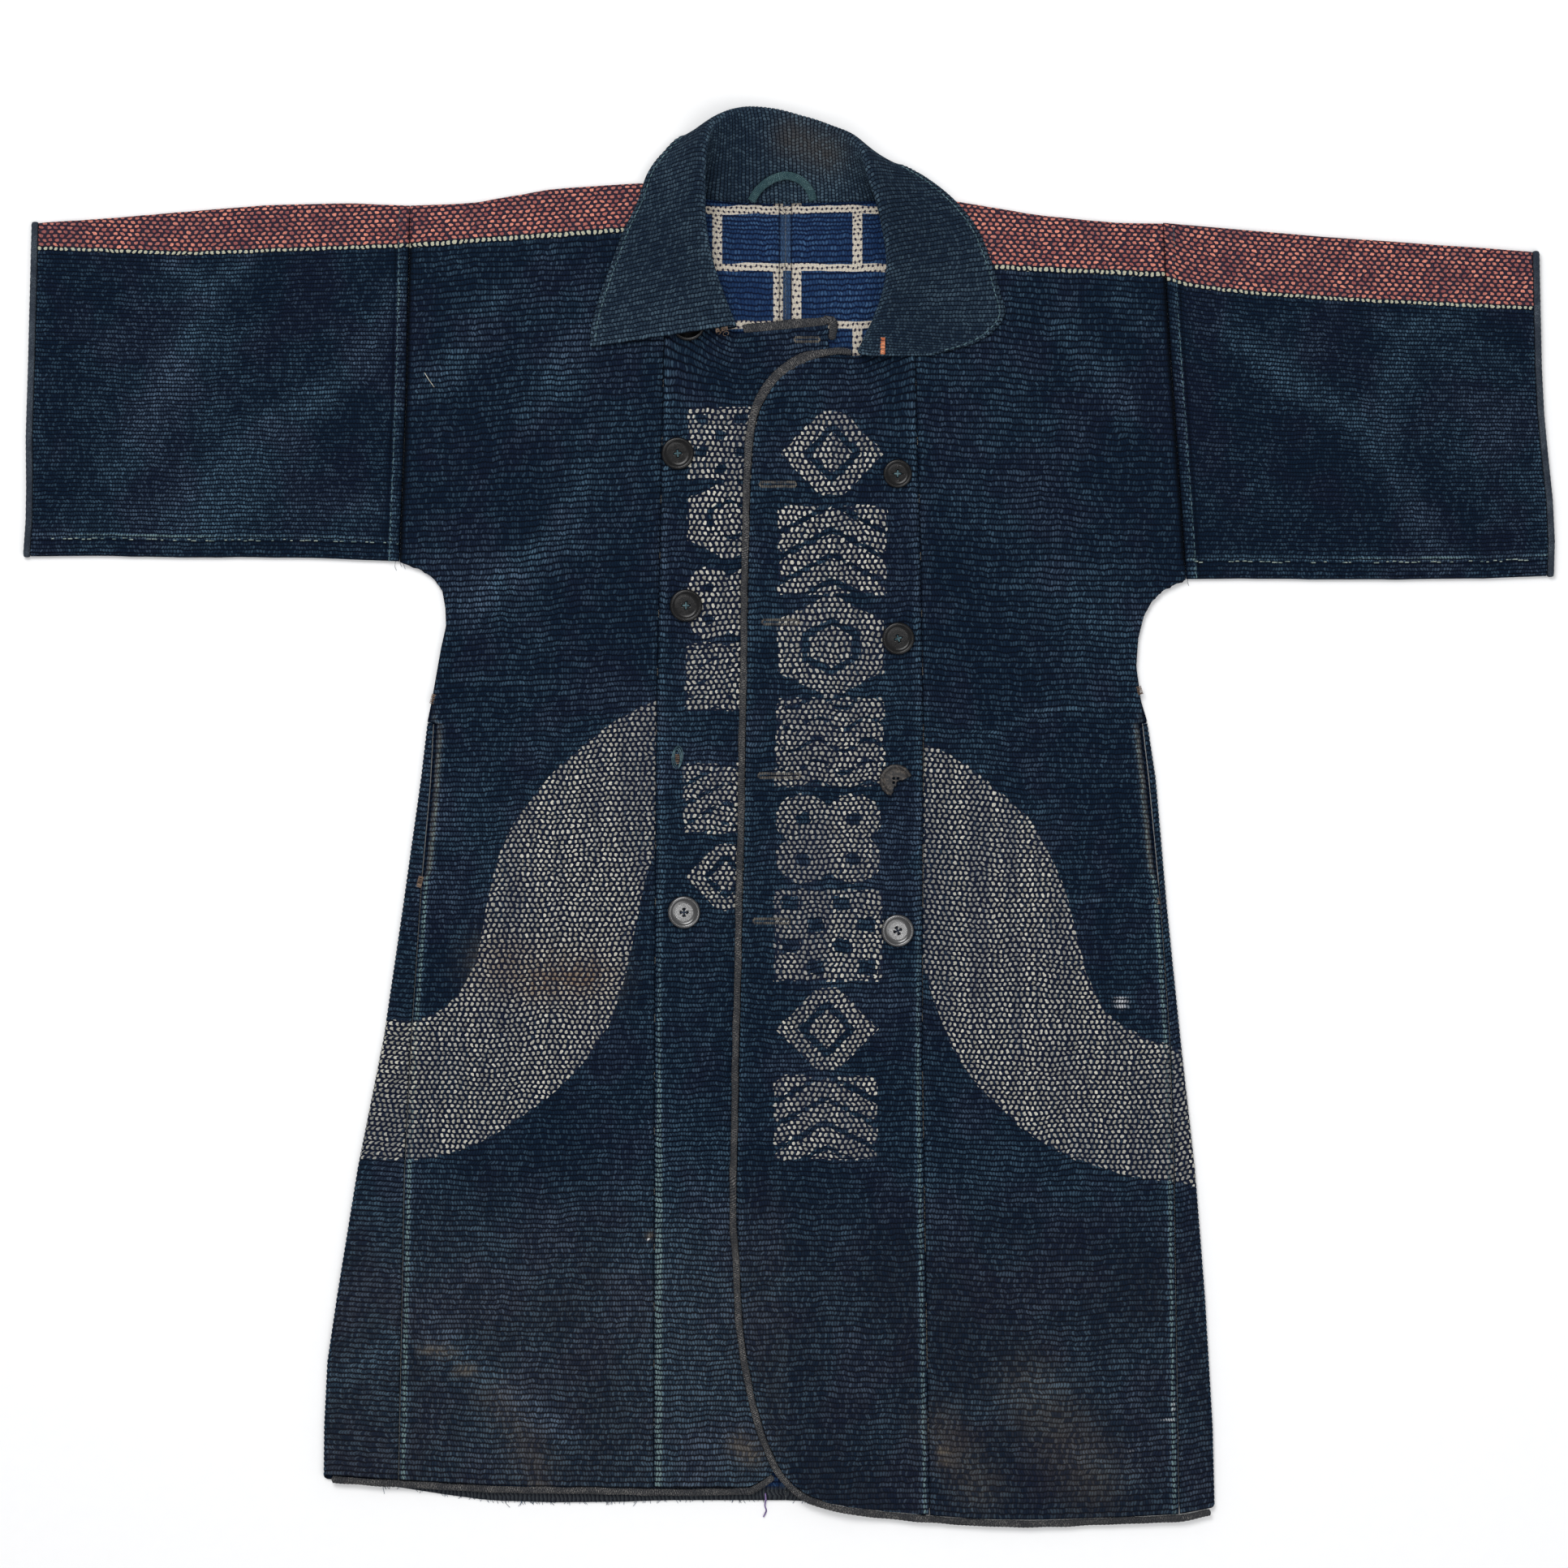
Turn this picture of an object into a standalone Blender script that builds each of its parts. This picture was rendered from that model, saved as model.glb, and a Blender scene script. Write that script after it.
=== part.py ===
"""A fireman's jacket of thick ribbed cotton, laid flat on its back with the front buttoned side up.

Metres, +Z up. X runs across the shoulders, Y from hem to collar, and Z is the height above the
surface that the jacket lies on. The origin is on that surface, at the middle of the outline.
Lengths in the tables are millimetres. Right and left are the wearer's: right is at -X.
"""

import math
from collections import namedtuple

import bmesh
import bpy
import numpy as np
from mathutils import Vector

MM = 0.001

# Cloth
WALL = 2.6  # thickness of the woven cloth
LAYER_GAP = 0.5  # air between two layers that lie on each other
SEAM = 0.35  # gap between two pieces at a seam
STACK = 2 * WALL + LAYER_GAP  # height of the front's outer face over the surface
FOLD = STACK / 2  # outer radius where the cloth folds round an edge
LAP = WALL + 0.4  # how far the left band is raised where it lies on the right one
LAP_EDGE = 46.0  # X where the left band starts to come down beside the right band
LAP_END = 74.0  # X where it lies at the height of the fronts
BINDING = 5.4  # width of a bound edge
BINDING_RISE = 1.65  # half the height of a binding
BINDING_DROP = 1.05  # how far its middle lies below the cloth's outer face
BINDING_PROUD = 0.3  # how far the cuffs' binding stands out from the cloth
BINDING_SIDES = 8
FOLD_STEPS = 4
BODY_STEP = 42.0  # most height between two rows of points in the body
EDGE_STEP = 60.0  # and in the gores and bands
ROW_CLEAR = 12.0  # least height between a row and the hem or the shoulder's fold
FRONT_COLUMNS = 6
BACK_COLUMNS = 3
SLEEVE_COLUMNS = 8
SLEEVE_STATIONS = 10
LEVEL_WEIGHT = 0.35  # how much a level stretch of the bands' free edge counts in placing their rows
BAND_SHARES = [0, 0.12, 0.24, 0.36, 0.44, 0.6, 0.8, 1]  # a band's points from seam to free edge
BAND_EASE = 0.2  # share of a band's length over which its rows take the slant of its ends
HEM_EASE = 200.0  # height above the hem over which the back's rows come level with the front's
CENTRE_BACK = -3.0  # X of the seam down the middle of the back
TO_MIDDLE = Vector((-0.25, -0.494, 0.0))  # brings the outline's middle over the origin
SLIT = 2.4  # how far a pocket's edge stands back from the gore
SLIT_LOW = -52.0  # Y of the pocket's lower end
SLIT_HIGH = 94.0  # Y of its upper end
SLIT_EASE = 14.0

# Buttons
BUTTON_WIDE = 25.6
BUTTON_SMALL = 22.6
BUTTON_STEPS = 16
BUTTON_RIM = 3.2  # thickness at the raised rim
BUTTON_DISH = 2.0  # thickness inside the rim
HOLE_PLACE = 2.6  # distance of the four holes from the middle
HOLE_RADIUS = 1.05
CUT_LOW = -5.0  # lower end of what is cut out of a button
CUT_DEEP = 12.0
BREAK_LINE = [
    (16.0, 7.7), (4.0, 1.1), (1.5, -0.4), (-0.6, -3.6), (-4.8, -4.2), (-5.6, -7.0), (-8.6, -10.4),
    (-8.6, -16.0), (16.0, -16.0),
]

Edge = namedtuple("Edge", "y x")
Point = namedtuple("Point", "x y")
Crease = namedtuple("Crease", "x0 y0 x1 y1 height width")
CollarRow = namedtuple("CollarRow", "seam_x seam_y seam_z roll_x roll_y roll_z edge_x edge_y edge_z")
Button = namedtuple("Button", "name x y width whole")

# Seams and outer edges, from hem to shoulder
BAND_SEAM_RIGHT = [
    Edge(-540, -107), Edge(-186, -106.5), Edge(70, -105), Edge(198, -102.5), Edge(371, -99), Edge(505, -96),
]
BAND_SEAM_LEFT = [
    Edge(-562, 111), Edge(-186, 105), Edge(70, 106), Edge(198, 104), Edge(365, 99.5), Edge(500, 98),
]
GORE_SEAM_RIGHT = [
    Edge(-540, -309), Edge(-282, -304), Edge(-180, -299), Edge(-45, -290), Edge(28, -283.5), Edge(75, -281),
]
GORE_SEAM_LEFT = [
    Edge(-562, 308), Edge(-282, 304), Edge(-173, 300.5), Edge(-64, 293), Edge(32, 284), Edge(75, 279),
]
SIDE_FOLD_RIGHT = [
    Edge(-540, -368), Edge(-480, -367.5), Edge(-429, -365), Edge(-378, -357.5), Edge(-276, -341),
    Edge(-173, -320.5), Edge(-71, -305.5), Edge(32, -291), Edge(75, -286),
]
SIDE_FOLD_LEFT = [
    Edge(-562, 336.5), Edge(-480, 334.5), Edge(-378, 328.5), Edge(-276, 320.5), Edge(-173, 309),
    Edge(-71, 298.5), Edge(32, 289.5), Edge(75, 283),
]
WAIST_RIGHT = [
    Edge(76.5, -285.8), Edge(100, -281), Edge(134, -275), Edge(152, -271), Edge(166, -271.5),
    Edge(180, -275), Edge(190, -283), Edge(197, -294), Edge(202, -307.5),
]
WAIST_LEFT = [
    Edge(76.5, 282.8), Edge(94, 277.5), Edge(120, 274), Edge(142, 275.5), Edge(160, 280),
    Edge(171, 286), Edge(180, 295), Edge(185.5, 306), Edge(188, 312.5),
]
ARMHOLE_RIGHT = [Edge(203, -308), Edge(339, -302.5), Edge(484, -299.5)]
ARMHOLE_LEFT = [Edge(190, 313.5), Edge(390, 299.5), Edge(472, 295)]

# Shoulder line of the body, from armhole to neck, and the back's neck seam
SHOULDER_RIGHT = [
    Point(-300, 484), Point(-251, 485.5), Point(-187, 496), Point(-123, 500.5), Point(-96, 502),
]
SHOULDER_LEFT = [
    Point(98, 494), Point(137, 486.5), Point(165, 483), Point(197, 478), Point(261, 471.5),
    Point(295, 470.5),
]
BACK_NECK = [
    Point(-96, 502), Point(-86, 497), Point(-70, 491.5), Point(-50, 489), Point(0, 487.5),
    Point(50, 488.5), Point(72, 490), Point(88, 492), Point(98, 494),
]

# Sleeves: the folded top edge and the seamed bottom edge, from the body out to the cuff
SLEEVE_TOP_RIGHT = [
    Point(-300, 484), Point(-347, 486), Point(-411, 484.5), Point(-475, 479.5), Point(-539, 474),
    Point(-590, 470.5),
]
SLEEVE_LOW_RIGHT = [
    Point(-308.5, 203), Point(-380, 206), Point(-475, 206), Point(-539, 207.5),
    Point(-597.5, 207),
]
SLEEVE_TOP_LEFT = [
    Point(295.5, 470.5), Point(357, 465), Point(421, 459.5), Point(485, 455), Point(549, 450.5),
    Point(586.5, 447.5),
]
SLEEVE_LOW_LEFT = [
    Point(314, 189), Point(357, 189.5), Point(421, 188.5), Point(485, 189), Point(549, 188.5),
    Point(598, 190),
]

# Hems of the cloth, inside the binding where there is one
FRONT_HEM_RIGHT = [
    Point(-368, -518), Point(-309, -522), Point(-238, -526), Point(-107, -528.5), Point(-40, -528.5),
]
FRONT_HEM_LEFT = [
    Point(60, -545), Point(111, -550), Point(150, -553), Point(197, -553.5), Point(261, -551.5),
    Point(308, -549), Point(337, -544),
]
BACK_HEM_RIGHT = [
    Point(-368, -524), Point(-309, -531), Point(-251, -536), Point(-187, -538.5), Point(-3, -539),
]
BACK_HEM_LEFT = [
    Point(-2, -539), Point(111, -543), Point(197, -546), Point(261, -546), Point(308, -543),
    Point(337, -540),
]

# Free edge of the bands, from the neck round the lower corner to the hem
BAND_EDGE_RIGHT = [
    Point(30.5, 389.5), Point(31, 372), Point(31.5, 300), Point(31, 150), Point(30, 0), Point(28, -280),
    Point(25, -352), Point(20, -411), Point(10, -468), Point(-2, -500), Point(-14, -517), Point(-28, -526),
    Point(-40, -528.5),
]
BAND_EDGE_LEFT = [
    Point(38, 365.5), Point(24, 363.5), Point(11, 359.5), Point(0, 353.5), Point(-8.5, 346.5),
    Point(-17, 336), Point(-23, 324), Point(-27.5, 306), Point(-30.5, 262), Point(-32, 198),
    Point(-35, 6), Point(-41, -282), Point(-39, -352), Point(-35, -411), Point(-25.5, -464),
    Point(-14, -498), Point(-3, -518), Point(12, -532), Point(32, -540), Point(60, -545),
]
BAND_NECK_RIGHT = [
    Point(-98, 424), Point(-84, 413), Point(-68, 398), Point(-54, 387), Point(-43, 382.5), Point(0, 386.5),
    Point(30.5, 389.5),
]
BAND_NECK_LEFT = [Point(38, 365.5), Point(48, 364.5), Point(60, 366), Point(78, 374), Point(98, 383)]

# Broad soft folds raised in the front's outer face
CREASES = [
    Crease(-166, 372, -232, 288, 1.6, 20),
    Crease(-228, 418, -276, 340, 1.5, 18),
    Crease(-172, 236, -248, 160, 1.5, 20),
    Crease(216, 392, 268, 318, 1.6, 18),
    Crease(150, 330, 232, 214, 1.3, 22),
    Crease(-456, 418, -512, 300, 1.8, 18),
    Crease(-330, 400, -408, 306, 1.6, 18),
    Crease(-440, 262, -392, 240, 1.4, 28),
    Crease(482, 380, 468, 296, 1.8, 16),
    Crease(344, 388, 456, 296, 1.6, 20),
    Crease(470, 292, 508, 226, 1.5, 18),
    Crease(-268, -418, -180, -484, 1.3, 20),
    Crease(170, -420, 236, -476, 1.3, 22),
    Crease(-250, 106, -168, 98, 0.9, 14),
    Crease(252, 88, 164, 72, 0.9, 14),
]

# Collar: neck seam, crown of the roll and free edge, from the wearer's right front end round the back
COLLAR = [
    CollarRow(-50.0, 386.0, 7.6, -42.5, 388.0, 14.5, -157.0, 372.0, 8.6),
    CollarRow(-64.0, 401.0, 7.7, -50.0, 407.0, 17.0, -155.5, 390.0, 8.4),
    CollarRow(-78.0, 413.0, 7.5, -58.0, 429.0, 19.0, -149.0, 413.0, 8.0),
    CollarRow(-88.0, 427.0, 7.0, -63.5, 450.0, 22.0, -141.0, 436.0, 7.5),
    CollarRow(-93.0, 443.0, 4.7, -66.5, 473.0, 26.0, -131.0, 463.0, 7.6),
    CollarRow(-92.5, 461.0, 4.6, -67.0, 495.5, 30.0, -120.0, 486.0, 8.0),
    CollarRow(-90.0, 481.0, 4.5, -66.5, 515.0, 33.0, -110.0, 507.0, 8.4),
    CollarRow(-81.5, 489.0, 4.4, -64.5, 532.0, 34.0, -98.0, 524.0, 7.4),
    CollarRow(-70.0, 489.5, 4.35, -60.0, 544.0, 31.0, -83.0, 538.0, 5.0),
    CollarRow(-52.0, 487.0, 4.3, -50.0, 552.5, 26.0, -62.0, 527.0, 2.4),
    CollarRow(-32.0, 486.0, 4.3, -36.0, 557.5, 20.0, -40.0, 506.0, 1.4),
    CollarRow(-8.0, 485.5, 4.3, -14.0, 559.0, 16.0, -12.0, 496.0, 1.3),
    CollarRow(14.0, 486.0, 4.3, 12.0, 554.0, 16.0, 14.0, 496.0, 1.3),
    CollarRow(34.0, 486.5, 4.3, 32.0, 545.5, 19.0, 38.0, 500.0, 1.4),
    CollarRow(52.0, 487.0, 4.3, 47.0, 535.0, 24.0, 64.0, 510.0, 2.6),
    CollarRow(68.0, 487.5, 4.35, 56.0, 522.5, 29.0, 84.0, 514.0, 5.4),
    CollarRow(81.0, 485.0, 4.4, 62.0, 507.0, 31.0, 103.0, 508.5, 8.0),
    CollarRow(90.0, 476.0, 4.5, 68.0, 489.0, 30.0, 120.5, 496.5, 8.4),
    CollarRow(93.5, 459.0, 4.6, 73.0, 469.0, 27.0, 136.0, 482.0, 8.0),
    CollarRow(95.0, 437.0, 4.7, 77.0, 448.0, 23.0, 149.0, 464.5, 7.5),
    CollarRow(94.0, 415.0, 4.7, 77.0, 427.0, 20.0, 158.5, 442.0, 7.5),
    CollarRow(90.0, 396.0, 6.2, 72.0, 408.0, 17.0, 166.0, 416.0, 7.5),
    CollarRow(80.0, 381.0, 7.8, 65.5, 391.0, 15.0, 169.5, 396.0, 7.5),
    CollarRow(70.0, 376.5, 8.9, 60.0, 380.0, 14.5, 150.0, 377.0, 7.5),
    CollarRow(62.0, 370.0, 9.9, 55.0, 367.0, 14.0, 112.0, 365.5, 7.5),
]
COLLAR_STEPS = 12
ROLL_HANDLE = 7.0  # how roundly the collar turns at its roll
STAND_REACH = 0.35
LEAF_REACH = 0.45

# Hanger loop of tape
LOOP_PATH = [
    Point(-30, 487), Point(-24, 496), Point(-14, 503.5), Point(-2, 506.5), Point(9, 503), Point(16, 495.5),
    Point(19, 487.5),
]
LOOP_WIDE = 4.8
LOOP_WALL = 1.1
LOOP_LIFT = 0.5
LOOP_BOW = 2.5

BUTTONS = [
    Button("button_right_top", -79.5, 389.5, BUTTON_WIDE, True),
    Button("button_right_upper", -88.0, 288.0, BUTTON_WIDE, True),
    Button("button_right_middle", -81.5, 168.0, BUTTON_WIDE, True),
    Button("button_right_low", -83.0, -74.0, BUTTON_WIDE, True),
    Button("button_left_upper", 85.5, 272.0, BUTTON_SMALL, True),
    Button("button_left_middle", 86.0, 142.0, BUTTON_WIDE, True),
    Button("button_left_broken", 84.0, 30.0, BUTTON_WIDE, False),
    Button("button_left_low", 85.5, -88.5, BUTTON_WIDE, True),
]


def read(edges, y):
    """X of a seam or edge at a height."""
    return float(np.interp(y, [edge.y for edge in edges], [edge.x for edge in edges]))


def line_y(points, x):
    """Y of a hem, shoulder or neck line at an X."""
    return float(np.interp(x, [point.x for point in points], [point.y for point in points]))


def mix(start, end, share):
    return start + (end - start) * share


def ease(share):
    share = min(max(share, 0.0), 1.0)
    return share * share * (3 - 2 * share)


def levels(edges, step):
    """Heights of a table's rows, with more between them where they are further apart than step."""
    found = [edges[0].y]
    for low, high in zip(edges, edges[1:]):
        count = max(1, math.ceil((high.y - low.y) / step))
        found += [mix(low.y, high.y, k / count) for k in range(1, count + 1)]
    return found


def relief(x, y):
    """How far the broad folds raise the outer face of the front."""
    raised = 0.0
    for crease in CREASES:
        along_x = crease.x1 - crease.x0
        along_y = crease.y1 - crease.y0
        length = math.hypot(along_x, along_y)
        share = ((x - crease.x0) * along_x + (y - crease.y0) * along_y) / length**2
        beyond = max(-share, share - 1, 0.0) * length
        across = abs((x - crease.x0) * along_y - (y - crease.y0) * along_x) / length
        raised += crease.height * math.exp(-(across**2 + beyond**2) / crease.width**2)
    return raised


def front_height(x, y):
    return STACK + relief(x, y)


def slit(y):
    """How far the front stands back from the gore along the pocket's opening."""
    return SLIT * ease((y - SLIT_LOW) / SLIT_EASE) * ease((SLIT_HIGH - y) / SLIT_EASE)


def lap(x):
    """How far the left band is raised over the right band."""
    return LAP * (1 - ease((x - LAP_EDGE) / (LAP_END - LAP_EDGE)))


def left_band_height(x, y):
    return front_height(x, y) + lap(x)


def cloth_material(name, colour, roughness):
    material = bpy.data.materials.new(name)
    material.use_nodes = True
    shader = material.node_tree.nodes["Principled BSDF"]
    shader.inputs["Base Color"].default_value = (*colour, 1)
    shader.inputs["Roughness"].default_value = roughness
    shader.inputs["Metallic"].default_value = 0.0
    return material


def add_object(name, data, material):
    obj = bpy.data.objects.new(name, data)
    data.materials.append(material)
    parts.objects.link(obj)
    return obj


def sheet(name, rows, material, kept=None, closed=False, offset=-1.0):
    """A wall of cloth whose outer face goes through rows of points. kept says which cells it has."""
    columns = len(rows[0]) - 1
    bands = len(rows) - 1
    mesh = bmesh.new()
    bmesh.ops.create_grid(mesh, x_segments=columns, y_segments=bands, size=0.5)
    if kept:
        cut = []
        for face in mesh.faces:
            middle = face.calc_center_median()
            column = int((middle.x + 0.5) * columns)
            row = int((middle.y + 0.5) * bands)
            if not kept(column, row):
                cut.append(face)
        bmesh.ops.delete(mesh, geom=cut, context="FACES")
    for vertex in mesh.verts:
        column = round((vertex.co.x + 0.5) * columns)
        row = round((vertex.co.y + 0.5) * bands)
        vertex.co = Vector(rows[row][column]) * MM
    if closed:
        bmesh.ops.remove_doubles(mesh, verts=mesh.verts, dist=0.01 * MM)
    data = bpy.data.meshes.new(name)
    mesh.to_mesh(data)
    mesh.free()
    obj = add_object(name, data, material)
    wall = obj.modifiers.new("Wall", "SOLIDIFY")
    wall.thickness = WALL * MM
    wall.offset = offset
    return obj


def fold_point(middle_y, step):
    """(y, z) of the outer face where the cloth turns over an edge, from the front round to the back."""
    turn = math.pi * step / FOLD_STEPS
    return middle_y + FOLD * math.sin(turn), FOLD + FOLD * math.cos(turn)


def body_panel(name, side, seam, shoulder, neck, front_hem, back_hem, centre, material):
    """Front and back in one length of cloth over the shoulder. side and seam are tables of edges."""
    wearer_right = side[0].x < seam[0].x
    inward = 1 if wearer_right else -1
    heights = levels(side, BODY_STEP)
    low = line_y(front_hem, side[0].x)
    side_top = line_y(shoulder, side[-1].x) - FOLD
    seam_top = line_y(shoulder, seam[-1].x) - FOLD
    heights = [low] + [y for y in heights if low + ROW_CLEAR < y < side_top - ROW_CLEAR]
    seam_low = line_y(front_hem, seam[0].x)
    back_low = line_y(back_hem, side[0].x)
    seam_back_low = line_y(back_hem, seam[0].x)
    centre_top = line_y(neck, centre)
    centre_low = line_y(back_hem, centre)
    shares = [k / FRONT_COLUMNS for k in range(FRONT_COLUMNS + 1)]

    def front_row(y_side, y_seam):
        x_side = read(side, y_side) + inward * slit(y_side)
        x_seam = read(seam, y_seam)
        row = []
        for share in shares:
            x = mix(x_side, x_seam, share)
            y = mix(y_side, y_seam, share)
            row.append((x, y, front_height(x, y)))
        return row + [row[-1]] * BACK_COLUMNS

    rows = []
    for number, y in enumerate(heights):
        up = (y - low) / (side_top - low)
        row = front_row(y, mix(seam_low, seam_top, up))
        if number == 0:
            on_hem = [(x, line_y(front_hem, x)) for x, _, _ in row]
            row = [(x, y, front_height(x, y)) for x, y in on_hem]
        rows.append(row)
    top = front_row(side_top, seam_top)
    for step in range(FOLD_STEPS + 1):
        row = []
        for x, _, _ in top:
            y, z = fold_point(line_y(shoulder, x) - FOLD, step)
            row.append((x, y, z))
        rows.append(row)
    fold_row = rows[-1]
    top_seam = read(seam, seam_top)
    neck_xs = [mix(top_seam, centre, k / BACK_COLUMNS) for k in range(1, BACK_COLUMNS + 1)]
    rows[-1] = fold_row[: FRONT_COLUMNS + 1] + [(x, line_y(neck, x), 0.0) for x in neck_xs]
    fold_start = len(heights)
    fold_end = len(rows) - 1
    for number, y in enumerate(reversed(heights)):
        up = (y - low) / (side_top - low)
        y_side = y + (back_low - low) * max(0.0, 1 - (y - low) / HEM_EASE)
        y_seam = mix(seam_back_low, seam_top, up)
        y_centre = mix(centre_low, centre_top, up)
        x_seam = read(seam, y_seam)
        x_side = read(side, y_side)
        row = [(mix(x_side, x_seam, share), mix(y_side, y_seam, share), 0.0) for share in shares]
        for k in range(1, BACK_COLUMNS + 1):
            share = k / BACK_COLUMNS
            row.append((mix(x_seam, centre, share), mix(y_seam, y_centre, share), 0.0))
        if number == len(heights) - 1:
            row = [(x, line_y(back_hem, x), 0.0) for x, _, _ in row]
        rows.append(row)
    if not wearer_right:
        rows = [row[::-1] for row in rows]
    columns = FRONT_COLUMNS + BACK_COLUMNS

    def kept(column, row):
        from_side = column if wearer_right else columns - 1 - column
        return row >= fold_end or from_side < FRONT_COLUMNS

    return sheet(name, rows, material, kept)


def gore(name, seam, fold, front_hem, back_hem, material):
    """A narrow wedge of cloth folded round the side edge, sewn to the front and the back."""
    outward = 1 if fold[0].x > seam[0].x else -1
    heights = levels(fold, EDGE_STEP)
    columns = [("back", 0.0)]
    columns += [("fold", k / FOLD_STEPS) for k in range(FOLD_STEPS, -1, -1)]
    columns += [("front", 0.0)]
    top = heights[-1]
    rows = []
    for height in heights:
        row = []
        for place, turn in columns:
            share = (height - heights[0]) / (top - heights[0])
            hem = front_hem if place == "front" or turn < 0.5 and place == "fold" else back_hem
            y = mix(line_y(hem, read(fold, height)), top, share)
            x_fold = read(fold, y) - outward * FOLD
            if place == "fold":
                angle = math.pi * turn
                x = x_fold + outward * FOLD * math.sin(angle)
                z = FOLD + FOLD * math.cos(angle)
            else:
                y = mix(line_y(hem, seam[0].x), top, share)
                x = read(seam, y) + outward * SEAM
                z = STACK if place == "front" else 0.0
            row.append((x, y, z))
        rows.append(row if outward < 0 else row[::-1])
    return sheet(name, rows, material)


def band(name, seam, neck, free_edge, hem, height, material):
    """A front band: a straight seam on one side and a free edge that rounds into the hem."""
    inward = 1 if free_edge[0].x > seam[0].x else -1
    seam_x_top = neck[0].x if inward > 0 else neck[-1].x
    seam_top = line_y(neck, seam_x_top)
    seam_low = line_y(hem, seam[0].x)
    lengths = [0.0]
    for start, end in zip(free_edge, free_edge[1:]):
        lengths.append(lengths[-1] + abs(end.y - start.y) + LEVEL_WEIGHT * abs(end.x - start.x))
    places = [length / lengths[-1] for length in lengths]
    for number in range(len(places) - 1, 0, -1):
        count = math.ceil((lengths[number] - lengths[number - 1]) / EDGE_STEP)
        extra = [mix(places[number - 1], places[number], k / count) for k in range(1, count)]
        places[number:number] = extra
    known = [length / lengths[-1] for length in lengths]
    straight = []
    for place in places:
        x_edge = float(np.interp(place, known, [point.x for point in free_edge]))
        y_edge = float(np.interp(place, known, [point.y for point in free_edge]))
        y_seam = mix(seam_top, seam_low, place)
        x_seam = read(seam, y_seam) + inward * SEAM
        straight.append([(mix(x_seam, x_edge, k), mix(y_seam, y_edge, k)) for k in BAND_SHARES])
    neck_dip = [line_y(neck, x) - y for x, y in straight[0]]
    hem_dip = [line_y(hem, x) - y for x, y in straight[-1]]
    rows = []
    for place, line in zip(places, straight):
        from_neck = max(0.0, 1 - place / BAND_EASE)
        from_hem = max(0.0, 1 - (1 - place) / BAND_EASE)
        row = []
        for (x, y), dip, rise in zip(line, neck_dip, hem_dip):
            y += dip * from_neck + rise * from_hem
            row.append((x, y, height(x, y)))
        rows.append(row if inward > 0 else row[::-1])
    return sheet(name, rows[::-1], material)


def tube_ring(x_top, y_top, x_low, y_low, skin=0.0):
    """One ring of a flattened sleeve: up the front, over the fold, down the back and round the low edge."""
    ring = []
    radius = FOLD + skin
    top = y_top - FOLD
    low = y_low + FOLD
    for k in range(SLEEVE_COLUMNS + 1):
        y = mix(low, top, k / SLEEVE_COLUMNS)
        x = mix(x_low, x_top, k / SLEEVE_COLUMNS)
        ring.append((x, y, front_height(x, y) + 2 * skin))
    for step in range(1, FOLD_STEPS + 1):
        turn = math.pi * step / FOLD_STEPS
        ring.append((x_top, top + radius * math.sin(turn), radius + radius * math.cos(turn)))
    ring.append((mix(x_top, x_low, 0.5), mix(top, low, 0.5), 0.0))
    for step in range(FOLD_STEPS):
        turn = math.pi * step / FOLD_STEPS
        ring.append((x_low, low - radius * math.sin(turn), radius - radius * math.cos(turn)))
    return ring + [ring[0]]


def sleeve(name, top_line, low_line, armhole, material):
    """A sleeve of one width of cloth, folded at the top and seamed below, open at both ends."""
    outward = 1 if top_line[-1].x > 0 else -1
    rows = []
    for k in range(SLEEVE_STATIONS + 1):
        share = k / SLEEVE_STATIONS
        x_top = mix(top_line[0].x, top_line[-1].x, share)
        x_low = mix(low_line[0].x, low_line[-1].x, share)
        y_top = line_y(sorted(top_line), x_top)
        y_low = line_y(sorted(low_line), x_low)
        ring = tube_ring(x_top, y_top, x_low, y_low)
        if k == 0:
            ring = [(read(armhole, y) + outward * SEAM, y, z) for _, y, z in ring]
        rows.append(ring)
    return sheet(name, rows if outward < 0 else rows[::-1], material, closed=True)


def cuff_binding(name, top_line, low_line, material):
    """The tape that binds the cuff: a short flattened ring just outside the sleeve."""
    outward = 1 if top_line[-1].x > 0 else -1
    rows = []
    for reach in (SEAM, BINDING):
        x_top = top_line[-1].x + outward * reach
        x_low = low_line[-1].x + outward * reach
        ring = tube_ring(x_top, top_line[-1].y, x_low, low_line[-1].y, BINDING_PROUD)
        rows.append(ring)
    return sheet(name, rows if outward < 0 else rows[::-1], material, closed=True)


def edge_binding(name, path, outside, height, material):
    """A rolled tape along a cut edge: outside is +1 where it lies left of the path, -1 right of it."""
    middle = SEAM + BINDING / 2
    points = []
    for number, point in enumerate(path):
        before = path[max(number - 1, 0)]
        after = path[min(number + 1, len(path) - 1)]
        way = Vector((after.x - before.x, after.y - before.y)).normalized()
        x = point.x - outside * way.y * middle
        y = point.y + outside * way.x * middle
        points.append((x, y, height(point.x, point.y) - BINDING_DROP))
    data = bpy.data.curves.new(name, "CURVE")
    data.dimensions = "3D"
    data.twist_mode = "Z_UP"
    data.bevel_mode = "OBJECT"
    data.bevel_object = binding_section
    data.use_fill_caps = True
    spline = data.splines.new("POLY")
    spline.points.add(len(points) - 1)
    for target, point in zip(spline.points, points):
        target.co = (*(Vector(point) * MM), 1)
    return add_object(name, data, material)


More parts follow.
